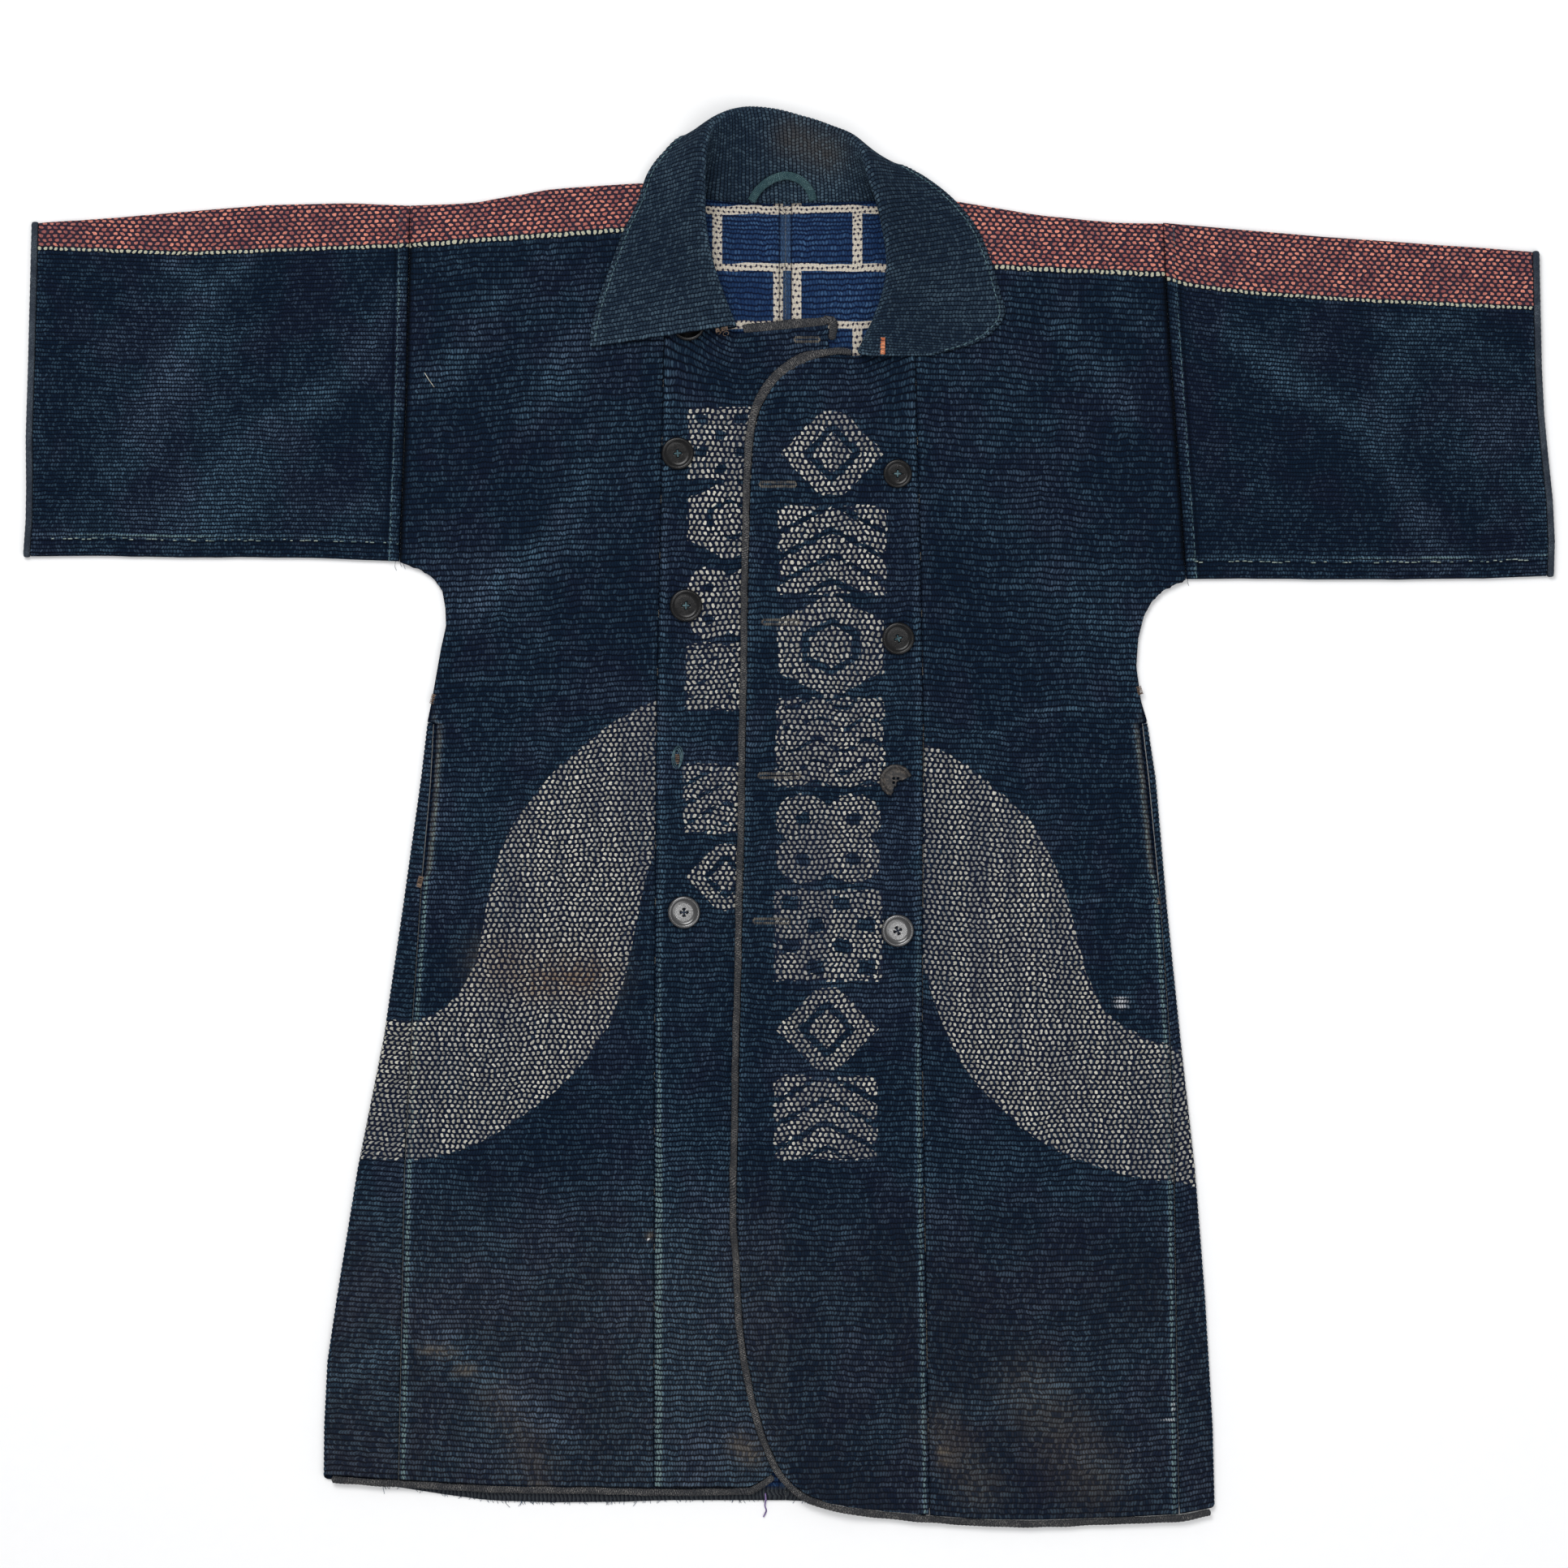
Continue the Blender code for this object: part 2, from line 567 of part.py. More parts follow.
def binding_profile():
    """The oval section that the edge bindings share."""
    data = bpy.data.curves.new("binding_section", "CURVE")
    data.dimensions = "2D"
    spline = data.splines.new("POLY")
    spline.points.add(BINDING_SIDES - 1)
    for k, target in enumerate(spline.points):
        turn = -2 * math.pi * k / BINDING_SIDES
        x = BINDING / 2 * math.cos(turn) * MM
        y = BINDING_RISE * math.sin(turn) * MM
        target.co = (x, y, 0, 1)
    spline.use_cyclic_u = True
    obj = bpy.data.objects.new("binding_section", data)
    obj.hide_render = True
    cutters.objects.link(obj)
    return obj


def bezier(points, share):
    """A cubic curve through its four points."""
    weights = [(1 - share) ** 3, 3 * share * (1 - share) ** 2, 3 * share**2 * (1 - share), share**3]
    return sum((point * weight for point, weight in zip(points, weights)), Vector((0, 0, 0)))


def collar_section(row):
    """Middle of the collar's wall from the neck seam, up the stand, round the roll and out to the edge."""
    seam = Vector((row.seam_x, row.seam_y, row.seam_z))
    roll = Vector((row.roll_x, row.roll_y, row.roll_z))
    edge = Vector((row.edge_x, row.edge_y, row.edge_z))
    turn = ((edge - roll).normalized() - (seam - roll).normalized()).normalized() * ROLL_HANDLE
    stand_way = Vector((roll.x - seam.x, roll.y - seam.y, 0)) * STAND_REACH
    leaf_way = Vector((roll.x - edge.x, roll.y - edge.y, 0)) * LEAF_REACH
    stand = [seam, seam + stand_way, roll - turn, roll]
    leaf = [roll, roll + turn, edge + leaf_way, edge]
    half = COLLAR_STEPS // 2
    section = [bezier(stand, k / half) for k in range(half)]
    section += [bezier(leaf, k / half) for k in range(half + 1)]
    return [tuple(point) for point in section]


def stand_height(y):
    """Height of the stand's inner face behind the neck, at a Y on its middle line."""
    row = COLLAR[11]
    section = collar_section(row)[: COLLAR_STEPS // 2 + 1]
    ys = [point[1] for point in section]
    zs = [point[2] for point in section]
    return float(np.interp(y, ys, zs)) + WALL / 2


def hanger_loop(material):
    """A bowed strip of tape sewn down by its two ends inside the neck."""
    rows = []
    last = len(LOOP_PATH) - 1
    for number, point in enumerate(LOOP_PATH):
        before = LOOP_PATH[max(number - 1, 0)]
        after = LOOP_PATH[min(number + 1, last)]
        way = Vector((after.x - before.x, after.y - before.y)).normalized()
        bow = LOOP_BOW * math.sin(math.pi * number / last)
        row = []
        for side in (-0.5, 0.5):
            x = point.x + side * way.y * LOOP_WIDE
            y = point.y - side * way.x * LOOP_WIDE
            row.append((x, y, stand_height(y) + LOOP_LIFT + LOOP_WALL + bow))
        rows.append(row)
    loop = sheet("hanger_loop", rows, material)
    loop.modifiers["Wall"].thickness = LOOP_WALL * MM
    return loop


def button_body(name, width, material):
    """A turned four-hole button with a raised rim, its underside at Z 0."""
    radius = width / 2
    outline = [
        (0.0, BUTTON_DISH), (radius * 0.5, BUTTON_DISH), (radius * 0.72, BUTTON_DISH + 0.35),
        (radius * 0.82, BUTTON_RIM), (radius * 0.93, BUTTON_RIM), (radius, BUTTON_RIM - 0.9),
        (radius * 0.93, 0.5), (radius * 0.6, 0.0), (0.0, 0.0),
    ]
    mesh = bmesh.new()
    ring = [mesh.verts.new((x * MM, 0, z * MM)) for x, z in outline]
    for start, end in zip(ring, ring[1:]):
        mesh.edges.new((start, end))
    data = bpy.data.meshes.new(name)
    mesh.to_mesh(data)
    mesh.free()
    obj = add_object(name, data, material)
    turned = obj.modifiers.new("Turned", "SCREW")
    turned.steps = BUTTON_STEPS
    turned.render_steps = BUTTON_STEPS
    turned.use_merge_vertices = True
    turned.merge_threshold = 0.01 * MM
    return obj


def button_holes():
    """Four round cutters through a button's middle."""
    mesh = bmesh.new()
    for k in range(4):
        turn = math.pi / 4 + math.pi / 2 * k
        place = Vector((math.cos(turn), math.sin(turn), 0)) * HOLE_PLACE * MM
        made = bmesh.ops.create_cone(
            mesh, cap_ends=True, segments=6, radius1=HOLE_RADIUS * MM, radius2=HOLE_RADIUS * MM,
            depth=CUT_DEEP * MM,
        )
        bmesh.ops.translate(mesh, verts=made["verts"], vec=place)
    data = bpy.data.meshes.new("button_holes")
    mesh.to_mesh(data)
    mesh.free()
    return add_cutter("button_holes", data)


def break_wedge():
    """What is gone from the broken button: the part below and to the right of a ragged line."""
    mesh = bmesh.new()
    outline = [Vector((x, y, CUT_LOW)) * MM for x, y in BREAK_LINE]
    face = mesh.faces.new([mesh.verts.new(corner) for corner in outline])
    grown = bmesh.ops.extrude_face_region(mesh, geom=[face])
    moved = [item for item in grown["geom"] if isinstance(item, bmesh.types.BMVert)]
    bmesh.ops.translate(mesh, verts=moved, vec=Vector((0, 0, CUT_DEEP * MM)))
    bmesh.ops.recalc_face_normals(mesh, faces=mesh.faces)
    data = bpy.data.meshes.new("break_wedge")
    mesh.to_mesh(data)
    mesh.free()
    return add_cutter("break_wedge", data)


def add_cutter(name, data):
    obj = bpy.data.objects.new(name, data)
    obj.hide_render = True
    obj.display_type = "WIRE"
    cutters.objects.link(obj)
    return obj


def cut(obj, cutter):
    """Takes a copy of the cutter, placed where the piece is, out of the piece."""
    tool = add_cutter(cutter.name + "_" + obj.name, cutter.data)
    tool.location = obj.location
    boolean = obj.modifiers.new(cutter.name, "BOOLEAN")
    boolean.operation = "DIFFERENCE"
    boolean.solver = "EXACT"
    boolean.object = tool


def clear_scene():
    for obj in list(bpy.data.objects):
        bpy.data.objects.remove(obj, do_unlink=True)


def collection(name):
    made = bpy.data.collections.new(name)
    bpy.context.scene.collection.children.link(made)
    return made


def shifted(edges, distance):
    return [Edge(edge.y, edge.x + distance) for edge in edges]


clear_scene()
parts = collection("fireman_jacket")
cutters = collection("cutters")
binding_section = binding_profile()

navy = cloth_material("indigo_cloth", (0.018, 0.032, 0.062), 0.9)
dark = cloth_material("collar_cloth", (0.02, 0.034, 0.05), 0.9)
tape = cloth_material("binding_tape", (0.07, 0.065, 0.06), 0.85)
teal = cloth_material("loop_tape", (0.1, 0.2, 0.21), 0.8)
black = cloth_material("button_black", (0.02, 0.02, 0.022), 0.3)

side_right = shifted(GORE_SEAM_RIGHT, SEAM) + WAIST_RIGHT + shifted(ARMHOLE_RIGHT, SEAM)
side_left = shifted(GORE_SEAM_LEFT, -SEAM) + WAIST_LEFT + shifted(ARMHOLE_LEFT, -SEAM)
body_panel(
    "body_right", side_right, shifted(BAND_SEAM_RIGHT, -SEAM / 2), SHOULDER_RIGHT, BACK_NECK,
    FRONT_HEM_RIGHT, BACK_HEM_RIGHT, CENTRE_BACK - SEAM / 2, navy,
)
body_panel(
    "body_left", side_left, shifted(BAND_SEAM_LEFT, SEAM / 2), SHOULDER_LEFT, BACK_NECK,
    FRONT_HEM_LEFT, BACK_HEM_LEFT, CENTRE_BACK + SEAM / 2, navy,
)
gore("gore_right", GORE_SEAM_RIGHT, SIDE_FOLD_RIGHT, FRONT_HEM_RIGHT, BACK_HEM_RIGHT, navy)
gore("gore_left", GORE_SEAM_LEFT, SIDE_FOLD_LEFT, FRONT_HEM_LEFT, BACK_HEM_LEFT, navy)
band(
    "band_right", BAND_SEAM_RIGHT, BAND_NECK_RIGHT, BAND_EDGE_RIGHT, FRONT_HEM_RIGHT, front_height, navy
)
band(
    "band_left", BAND_SEAM_LEFT, BAND_NECK_LEFT, BAND_EDGE_LEFT, FRONT_HEM_LEFT, left_band_height, navy
)
sleeve("sleeve_right", SLEEVE_TOP_RIGHT, SLEEVE_LOW_RIGHT, ARMHOLE_RIGHT, navy)
sleeve("sleeve_left", SLEEVE_TOP_LEFT, SLEEVE_LOW_LEFT, ARMHOLE_LEFT, navy)
cuff_binding("binding_cuff_right", SLEEVE_TOP_RIGHT, SLEEVE_LOW_RIGHT, tape)
cuff_binding("binding_cuff_left", SLEEVE_TOP_LEFT, SLEEVE_LOW_LEFT, tape)

collar_rows = [collar_section(row) for row in COLLAR]
collar_grid = [list(points) for points in zip(*collar_rows)]
sheet("collar", collar_grid, dark, offset=0.0)
hanger_loop(teal)

left_edge = [Point(49, 364.5)] + BAND_EDGE_LEFT + FRONT_HEM_LEFT[1:-1] + [Point(330, -545.5)]
edge_binding("binding_left", left_edge, -1, left_band_height, tape)
tab_edge = [Point(-36, 383.2), Point(0, 386.5), Point(26, 389.1), Point(31.8, 390.8), Point(31, 378)]
edge_binding("binding_neck_right", tab_edge, 1, front_height, tape)
right_hem = [Point(-361, -518.5)] + FRONT_HEM_RIGHT[1:] + BAND_EDGE_RIGHT[-2:-4:-1]
edge_binding("binding_hem_right", right_hem, -1, front_height, tape)

holes = button_holes()
wedge = break_wedge()
for button in BUTTONS:
    obj = button_body(button.name, button.width, black)
    reach = button.width / 2
    around = [(button.x + reach * math.cos(k), button.y + reach * math.sin(k)) for k in range(6)]
    under = max(left_band_height(x, y) if button.x > 0 else front_height(x, y) for x, y in around)
    obj.location = Vector((button.x, button.y, under + SEAM)) * MM
    cut(obj, holes)
    if not button.whole:
        cut(obj, wedge)

for obj in [*parts.objects, *cutters.objects]:
    obj.location += TO_MIDDLE * MM
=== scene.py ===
"""The fireman's jacket dressed for its photograph: ribbed indigo cloth with its woven patterns, and the
tapes, stitches, threads and buttons that are sewn on.

Metres, +Z up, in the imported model's frame. Lengths in the tables are millimetres. Right and left are
the wearer's: right is at -X.
"""

import math
from collections import namedtuple
from functools import partialmethod

import bmesh
import bpy
import numpy as np
from mathutils import Matrix, Vector


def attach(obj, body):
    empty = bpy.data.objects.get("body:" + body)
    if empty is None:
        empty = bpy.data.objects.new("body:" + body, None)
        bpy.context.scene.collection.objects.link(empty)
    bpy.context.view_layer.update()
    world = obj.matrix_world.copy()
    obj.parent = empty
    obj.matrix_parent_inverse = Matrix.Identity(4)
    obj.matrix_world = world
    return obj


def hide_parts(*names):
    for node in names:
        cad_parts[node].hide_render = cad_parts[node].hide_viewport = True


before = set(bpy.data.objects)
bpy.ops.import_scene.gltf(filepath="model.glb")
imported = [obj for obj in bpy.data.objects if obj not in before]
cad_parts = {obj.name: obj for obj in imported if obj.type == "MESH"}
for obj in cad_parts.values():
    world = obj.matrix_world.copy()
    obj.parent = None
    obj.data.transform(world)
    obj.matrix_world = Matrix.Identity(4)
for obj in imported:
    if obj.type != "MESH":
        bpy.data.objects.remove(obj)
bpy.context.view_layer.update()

MM = 0.001

# Cloth, as in the solids
STACK = 5.7  # height of the front's outer face over the floor
FOLD = STACK / 2  # outer radius where the cloth folds round an edge
SEAM = 0.35  # gap between two pieces at a seam
LAP = 3.0  # how far the left band is raised where it lies on the right one
LAP_EDGE = 46.0  # from here the left band comes down, and it lies level again at the end
LAP_END = 74.0
CENTRE_BACK = -3.0
TO_MIDDLE = (-0.25, -0.494, 0.0)  # the solids' shift over the origin
SLIT = 2.4  # how wide the pocket's opening stands
SLIT_LOW = -52.0
SLIT_HIGH = 94.0
SLIT_EASE = 14.0
BINDING = 5.4  # breadth of the rolled tape
BINDING_RISE = 1.65
BINDING_DROP = 1.05
TAPE_SIDES = 12
TAPE_STEP = 1.1
CUFF_SIDES = 10
CUFF_STEP = 3.2
ROLL_HANDLE = 7.0  # reach of the curve's handles at the collar's roll
STAND_REACH = 0.35  # of the way level from the neck seam to the roll
LEAF_REACH = 0.45
BUTTON_WIDE = 25.6
BUTTON_SMALL = 22.6

# Ribs of the weave
WALL = 2.1  # thickness of the cloth under its ribs
RIB_DEPTH = 0.55
RIB_STEPS = 3  # rows of the mesh for each rib
SLEEVE_PITCH = 3.25
STRIPE_PITCH = 3.33

Edge = namedtuple("Edge", "y x")
Point = namedtuple("Point", "x y")
Stroke = namedtuple("Stroke", "x0 y0 x1 y1 width strength")
CollarRow = namedtuple("CollarRow", "seam_x seam_y seam_z roll_x roll_y roll_z edge_x edge_y edge_z")
Button = namedtuple("Button", "name x y width whole")
WeaveStep = namedtuple("WeaveStep", "y pitch")


def listed(kind, *rows):
    """A table of rows of this kind."""
    return [kind(*row) for row in rows]


# Seams and outer edges, from hem to shoulder
BAND_SEAM_RIGHT = listed(Edge,
    (-540, -107), (-186, -106.5), (70, -105), (198, -102.5), (371, -99), (505, -96),
)
BAND_SEAM_LEFT = listed(Edge, (-562, 111), (-186, 105), (70, 106), (198, 104), (365, 99.5), (500, 98))
GORE_SEAM_RIGHT = listed(Edge,
    (-540, -309), (-282, -304), (-180, -299), (-45, -290), (28, -283.5), (75, -281),
)
GORE_SEAM_LEFT = listed(Edge, (-562, 308), (-282, 304), (-173, 300.5), (-64, 293), (32, 284), (75, 279))
SIDE_FOLD_RIGHT = listed(Edge,
    (-540, -368), (-480, -367.5), (-429, -365), (-378, -357.5), (-276, -341), (-173, -320.5),
    (-71, -305.5), (32, -291), (75, -286),
)
SIDE_FOLD_LEFT = listed(Edge,
    (-562, 336.5), (-480, 334.5), (-378, 328.5), (-276, 320.5), (-173, 309), (-71, 298.5), (32, 289.5),
    (75, 283),
)
WAIST_RIGHT = listed(Edge,
    (76.5, -285.8), (100, -281), (134, -275), (152, -271), (166, -271.5), (180, -274), (190, -281.2),
    (197, -292), (202, -306.5),
)
WAIST_LEFT = listed(Edge,
    (76.5, 282.8), (94, 277.5), (120, 274), (142, 275.5), (160, 280), (171, 286), (180, 295), (185.5, 306),
    (188, 312.5),
)
ARMHOLE_RIGHT = listed(Edge, (203, -308), (339, -302.5), (484, -299.5))
ARMHOLE_LEFT = listed(Edge, (190, 313.5), (390, 299.5), (472, 295))

# Shoulder line of the body, from armhole to neck, and the back's neck seam
SHOULDER_RIGHT = listed(Point, (-300, 484), (-251, 486), (-187, 497.2), (-123, 501.5), (-96, 502))
SHOULDER_LEFT = listed(Point, (98, 494), (137, 486.5), (165, 482), (197, 476.4), (261, 470.2), (295, 470))
BACK_NECK = listed(Point,
    (-96, 502), (-86, 497), (-70, 491.5), (-50, 489), (0, 487.5), (50, 488.5), (72, 490), (88, 492),
    (98, 494),
)

# Sleeves: the folded top edge and the seamed bottom edge, from the body out to the cuff
SLEEVE_TOP_RIGHT = listed(Point,
    (-300, 484), (-347, 486), (-411, 484.5), (-475, 479.5), (-539, 474), (-592.5, 470.5),
)
SLEEVE_LOW_RIGHT = listed(Point, (-308.5, 203), (-380, 206), (-475, 206), (-539, 207.5), (-599, 207))
SLEEVE_TOP_LEFT = listed(Point,
    (295.5, 470.5), (357, 465), (421, 459.5), (485, 455), (549, 450.5), (586.5, 447.5),
)
SLEEVE_LOW_LEFT = listed(Point,
    (314, 189), (357, 189.5), (421, 188.5), (485, 189), (549, 189.5), (598, 191.5),
)

# How far the cuffs bow outwards, by share of the height from the sleeve's bottom
CUFF_BOW_RIGHT = [(0, 0), (0.1, -1.2), (0.2, -1), (0.35, 0.4), (0.6, 0), (1, 0)]
CUFF_BOW_LEFT = [
    (0, 0), (0.1, 1.8), (0.23, 1.6), (0.37, -0.4), (0.5, -2), (0.65, -2.2), (0.82, -1.2), (1, 0),
]

# Hems of the cloth, inside the binding where there is one
FRONT_HEM_RIGHT = listed(Point, (-368, -518), (-309, -522), (-238, -526), (-107, -528.5), (-40, -528.5))
FRONT_HEM_LEFT = listed(Point,
    (60, -545), (111, -550), (150, -553), (197, -553.5), (261, -551.5), (308, -549), (337, -544),
)
BACK_HEM_RIGHT = listed(Point,
    (-368, -522), (-309, -526.5), (-270, -532.5), (-236, -537), (-187, -538.5), (-130, -538),
    (-100, -536.8), (-3, -536.8),
)
BACK_HEM_LEFT = listed(Point,
    (-2, -536.8), (60, -540), (111, -543), (197, -546), (261, -546), (308, -543), (337, -540),
)

# Free edge of the bands, from the neck round the lower corner to the hem
BAND_EDGE_RIGHT = listed(Point,
    (30.5, 389.5), (31, 372), (31.5, 300), (31, 150), (30, 0), (28, -280), (25, -352), (20, -411),
    (10, -468), (-2, -500), (-14, -517), (-28, -526), (-40, -528.5),
)
BAND_EDGE_LEFT = listed(Point,
    (38, 365.5), (24, 363.5), (11, 359.5), (0, 353.5), (-8.5, 346.5), (-17, 336), (-23, 324), (-27.5, 306),
    (-30.5, 262), (-32, 198), (-35, 6), (-41, -282), (-39, -352), (-35, -411), (-25.5, -464), (-14, -498),
    (-3, -518), (12, -532), (32, -540), (60, -545),
)
BAND_NECK_RIGHT = listed(Point,
    (-98, 424), (-84, 413), (-68, 398), (-54, 387), (-43, 382.5), (0, 386.5), (30.5, 389.5),
)
BAND_NECK_LEFT = listed(Point, (38, 365.5), (48, 364.5), (60, 366), (78, 374), (98, 383))

# Broad soft folds raised in the front's outer face; their strength is their height
CREASES = listed(Stroke,
    (-166, 372, -232, 288, 20, 1.6), (-228, 418, -276, 340, 18, 1.5), (-172, 236, -248, 160, 20, 1.5),
    (216, 392, 268, 318, 18, 1.6), (150, 330, 232, 214, 22, 1.3), (-456, 418, -512, 300, 18, 1.8),
    (-330, 400, -408, 306, 18, 1.6), (-440, 262, -392, 240, 28, 1.4), (482, 380, 468, 296, 16, 1.8),
    (344, 388, 456, 296, 20, 1.6), (470, 292, 508, 226, 18, 1.5), (-268, -418, -180, -484, 20, 1.3),
    (170, -420, 236, -476, 22, 1.3), (-250, 106, -168, 98, 14, 0.9), (252, 88, 164, 72, 14, 0.9),
)

# Collar: neck seam, crown of the roll and free edge, from the wearer's right front end round the back
COLLAR = listed(CollarRow,
    (-50, 386, 7.6, -42.5, 388, 14.5, -157, 372, 8.6), (-64, 401, 7.7, -50, 407, 17, -155.5, 390, 8.4),
    (-78, 413, 7.5, -58, 429, 19, -149, 413, 8), (-88, 427, 7, -63.5, 450, 22, -141, 436, 7.5),
    (-93, 443, 4.7, -66.5, 473, 26, -131, 463, 7.6), (-92.5, 461, 4.6, -67, 495.5, 30, -120, 486, 8),
    (-90, 481, 4.5, -66.5, 515.5, 33, -112, 508.5, 8.4),
    (-81.5, 489, 4.4, -65, 532.5, 34, -100, 524.8, 7.4),
    (-70, 489.5, 4.35, -61, 544.6, 31, -83.5, 538.2, 5), (-52, 487, 4.3, -50.5, 553.8, 26, -62, 527, 2.4),
    (-32, 486, 4.3, -36, 558.8, 20, -40, 506, 1.4), (-8, 485.5, 4.3, -14, 558.4, 16, -12, 496, 1.3),
    (14, 486, 4.3, 12, 552, 16, 14, 496, 1.3), (34, 486.5, 4.3, 32, 544.6, 19, 38, 500, 1.4),
    (52, 487, 4.3, 48.5, 536.2, 24, 64, 510, 2.6), (68, 487.5, 4.35, 57.5, 524, 29, 85.5, 515.5, 5.4),
    (81, 485, 4.4, 62, 507, 31, 103, 508.5, 8), (90, 476, 4.5, 68, 489, 30, 120.5, 496.5, 8.4),
    (93.5, 459, 4.6, 73, 469, 27, 136, 482, 8), (95, 437, 4.7, 77, 448, 23, 149, 464.5, 7.5),
    (94, 415, 4.7, 77, 427, 20, 158.5, 442, 7.5), (90, 396, 6.2, 72, 408, 17, 166, 416, 7.5),
    (80, 381, 7.8, 65.5, 391, 15, 169.5, 396, 7.5), (70, 376.5, 8.9, 60, 380, 14.5, 150, 377, 7.5),
    (62, 370, 9.9, 55, 367, 14, 112, 365.5, 7.5),
)
COLLAR_STAIN = Stroke(2, 536, 30, 524, 15, 0.28)
COLLAR_STEPS = 28
COLLAR_RIBS = 150

# Hanger loop of tape
LOOP_PATH = listed(Point,
    (-30, 487), (-24, 496), (-14, 503.5), (-2, 506.5), (9, 503), (16, 495.5), (19, 487.5),
)
LOOP_WIDE = 6.4
LOOP_WALL = 1.1
LOOP_LIFT = 0.5
LOOP_BOW = 2.5
LOOP_STEPS = 12  # steps of the collar's line that the loop follows

# Outline of a turned button from the middle of its top, as shares of its radius and heights
BUTTON_OUTLINE = [
    (0, 1.78), (0.3, 1.78), (0.55, 1.8), (0.68, 1.86), (0.74, 2.2), (0.8, 2.8), (0.85, 3.1), (0.91, 3.05),
    (0.965, 2.7), (1, 2.1), (0.99, 1.5), (0.95, 0.9), (0.85, 0.35), (0.6, 0.05), (0, 0),
]
HOLE_OUT = 2.35  # from the middle of a button to its holes
# What is gone from the broken button
BREAK_LINE = [
    (16, 4.7), (9, 2.2), (5.2, 0.2), (3, 0.4), (1.9, -1.2), (0.6, -2), (0.2, -4.6), (-1.4, -4.8),
    (-2.2, -6.6), (-2, -9), (-3.4, -10.4), (-3.6, -12.6), (-3.6, -16), (16, -16),
]
BUTTONS = listed(Button,
    ("button_right_top", -79.5, 389.5, BUTTON_WIDE, True),
    ("button_right_upper", -88, 288, BUTTON_WIDE, True),
    ("button_right_middle", -81.5, 168, BUTTON_WIDE, True),
    ("button_right_low", -83, -74, BUTTON_WIDE, True),
    ("button_left_upper", 85.5, 272, BUTTON_SMALL, True),
    ("button_left_middle", 86, 142, BUTTON_WIDE, True), ("button_left_broken", 84, 30, BUTTON_WIDE, False),
    ("button_left_low", 85.5, -88.5, BUTTON_WIDE, True),
)


# Distance between ribs of the body and bands at a height
WEAVE = listed(WeaveStep,
    (-560, 4.25), (-300, 4.1), (-240, 3.9), (60, 3.9), (140, 4.35), (380, 4.45), (470, 4.1),
)

# Lower edge of the red shoulder stripe, and how many ribs it counts over the shoulder
STRIPE_RIGHT = listed(Point, (-600, 452), (-475, 447.5), (-411, 450), (-302, 454), (-238, 459), (-96, 469))
STRIPE_LEFT = listed(Point,
    (98, 441), (149, 438), (210, 435), (293, 431.5), (325, 422), (376, 416), (459, 410.5), (600, 404),
)
STRIPE_RIBS_RIGHT = 20
STRIPE_RIBS_LEFT = 26

# Edges of the cream waist band on the wearer's right and left
WAIST_UPPER_RIGHT = listed(Point,
    (-400, -160), (-316, -160), (-290, -158), (-273, -150), (-260, -138), (-246, -110), (-240, -66),
    (-232, -32), (-215, 1), (-185, 38), (-143, 74), (-108, 93), (-60, 98), (0, 92),
)
WAIST_LOWER_RIGHT = listed(Point,
    (-400, -268.5), (-284, -268.5), (-246, -257), (-218, -240.5), (-185, -215.5), (-163, -194),
    (-143, -165.5), (-130, -132), (-122.5, -88), (-117, -60.5), (-108.5, -32), (-60, -40), (0, -58),
)
WAIST_UPPER_LEFT = listed(Point,
    (0, 92), (60, 80), (108, 58.5), (132, 47.5), (154, 31), (176, 12), (194, -3.5), (207, -31.5),
    (218, -56.5), (227.5, -95), (234.5, -123), (251, -156.5), (280, -173), (308, -181.5), (400, -184),
)
WAIST_LOWER_LEFT = listed(Point,
    (0, -58), (60, -86), (108, -123), (118, -156.5), (132, -190), (154, -217), (176, -236.5), (188, -249),
    (221, -267), (265, -281), (321, -289.5), (400, -291),
)

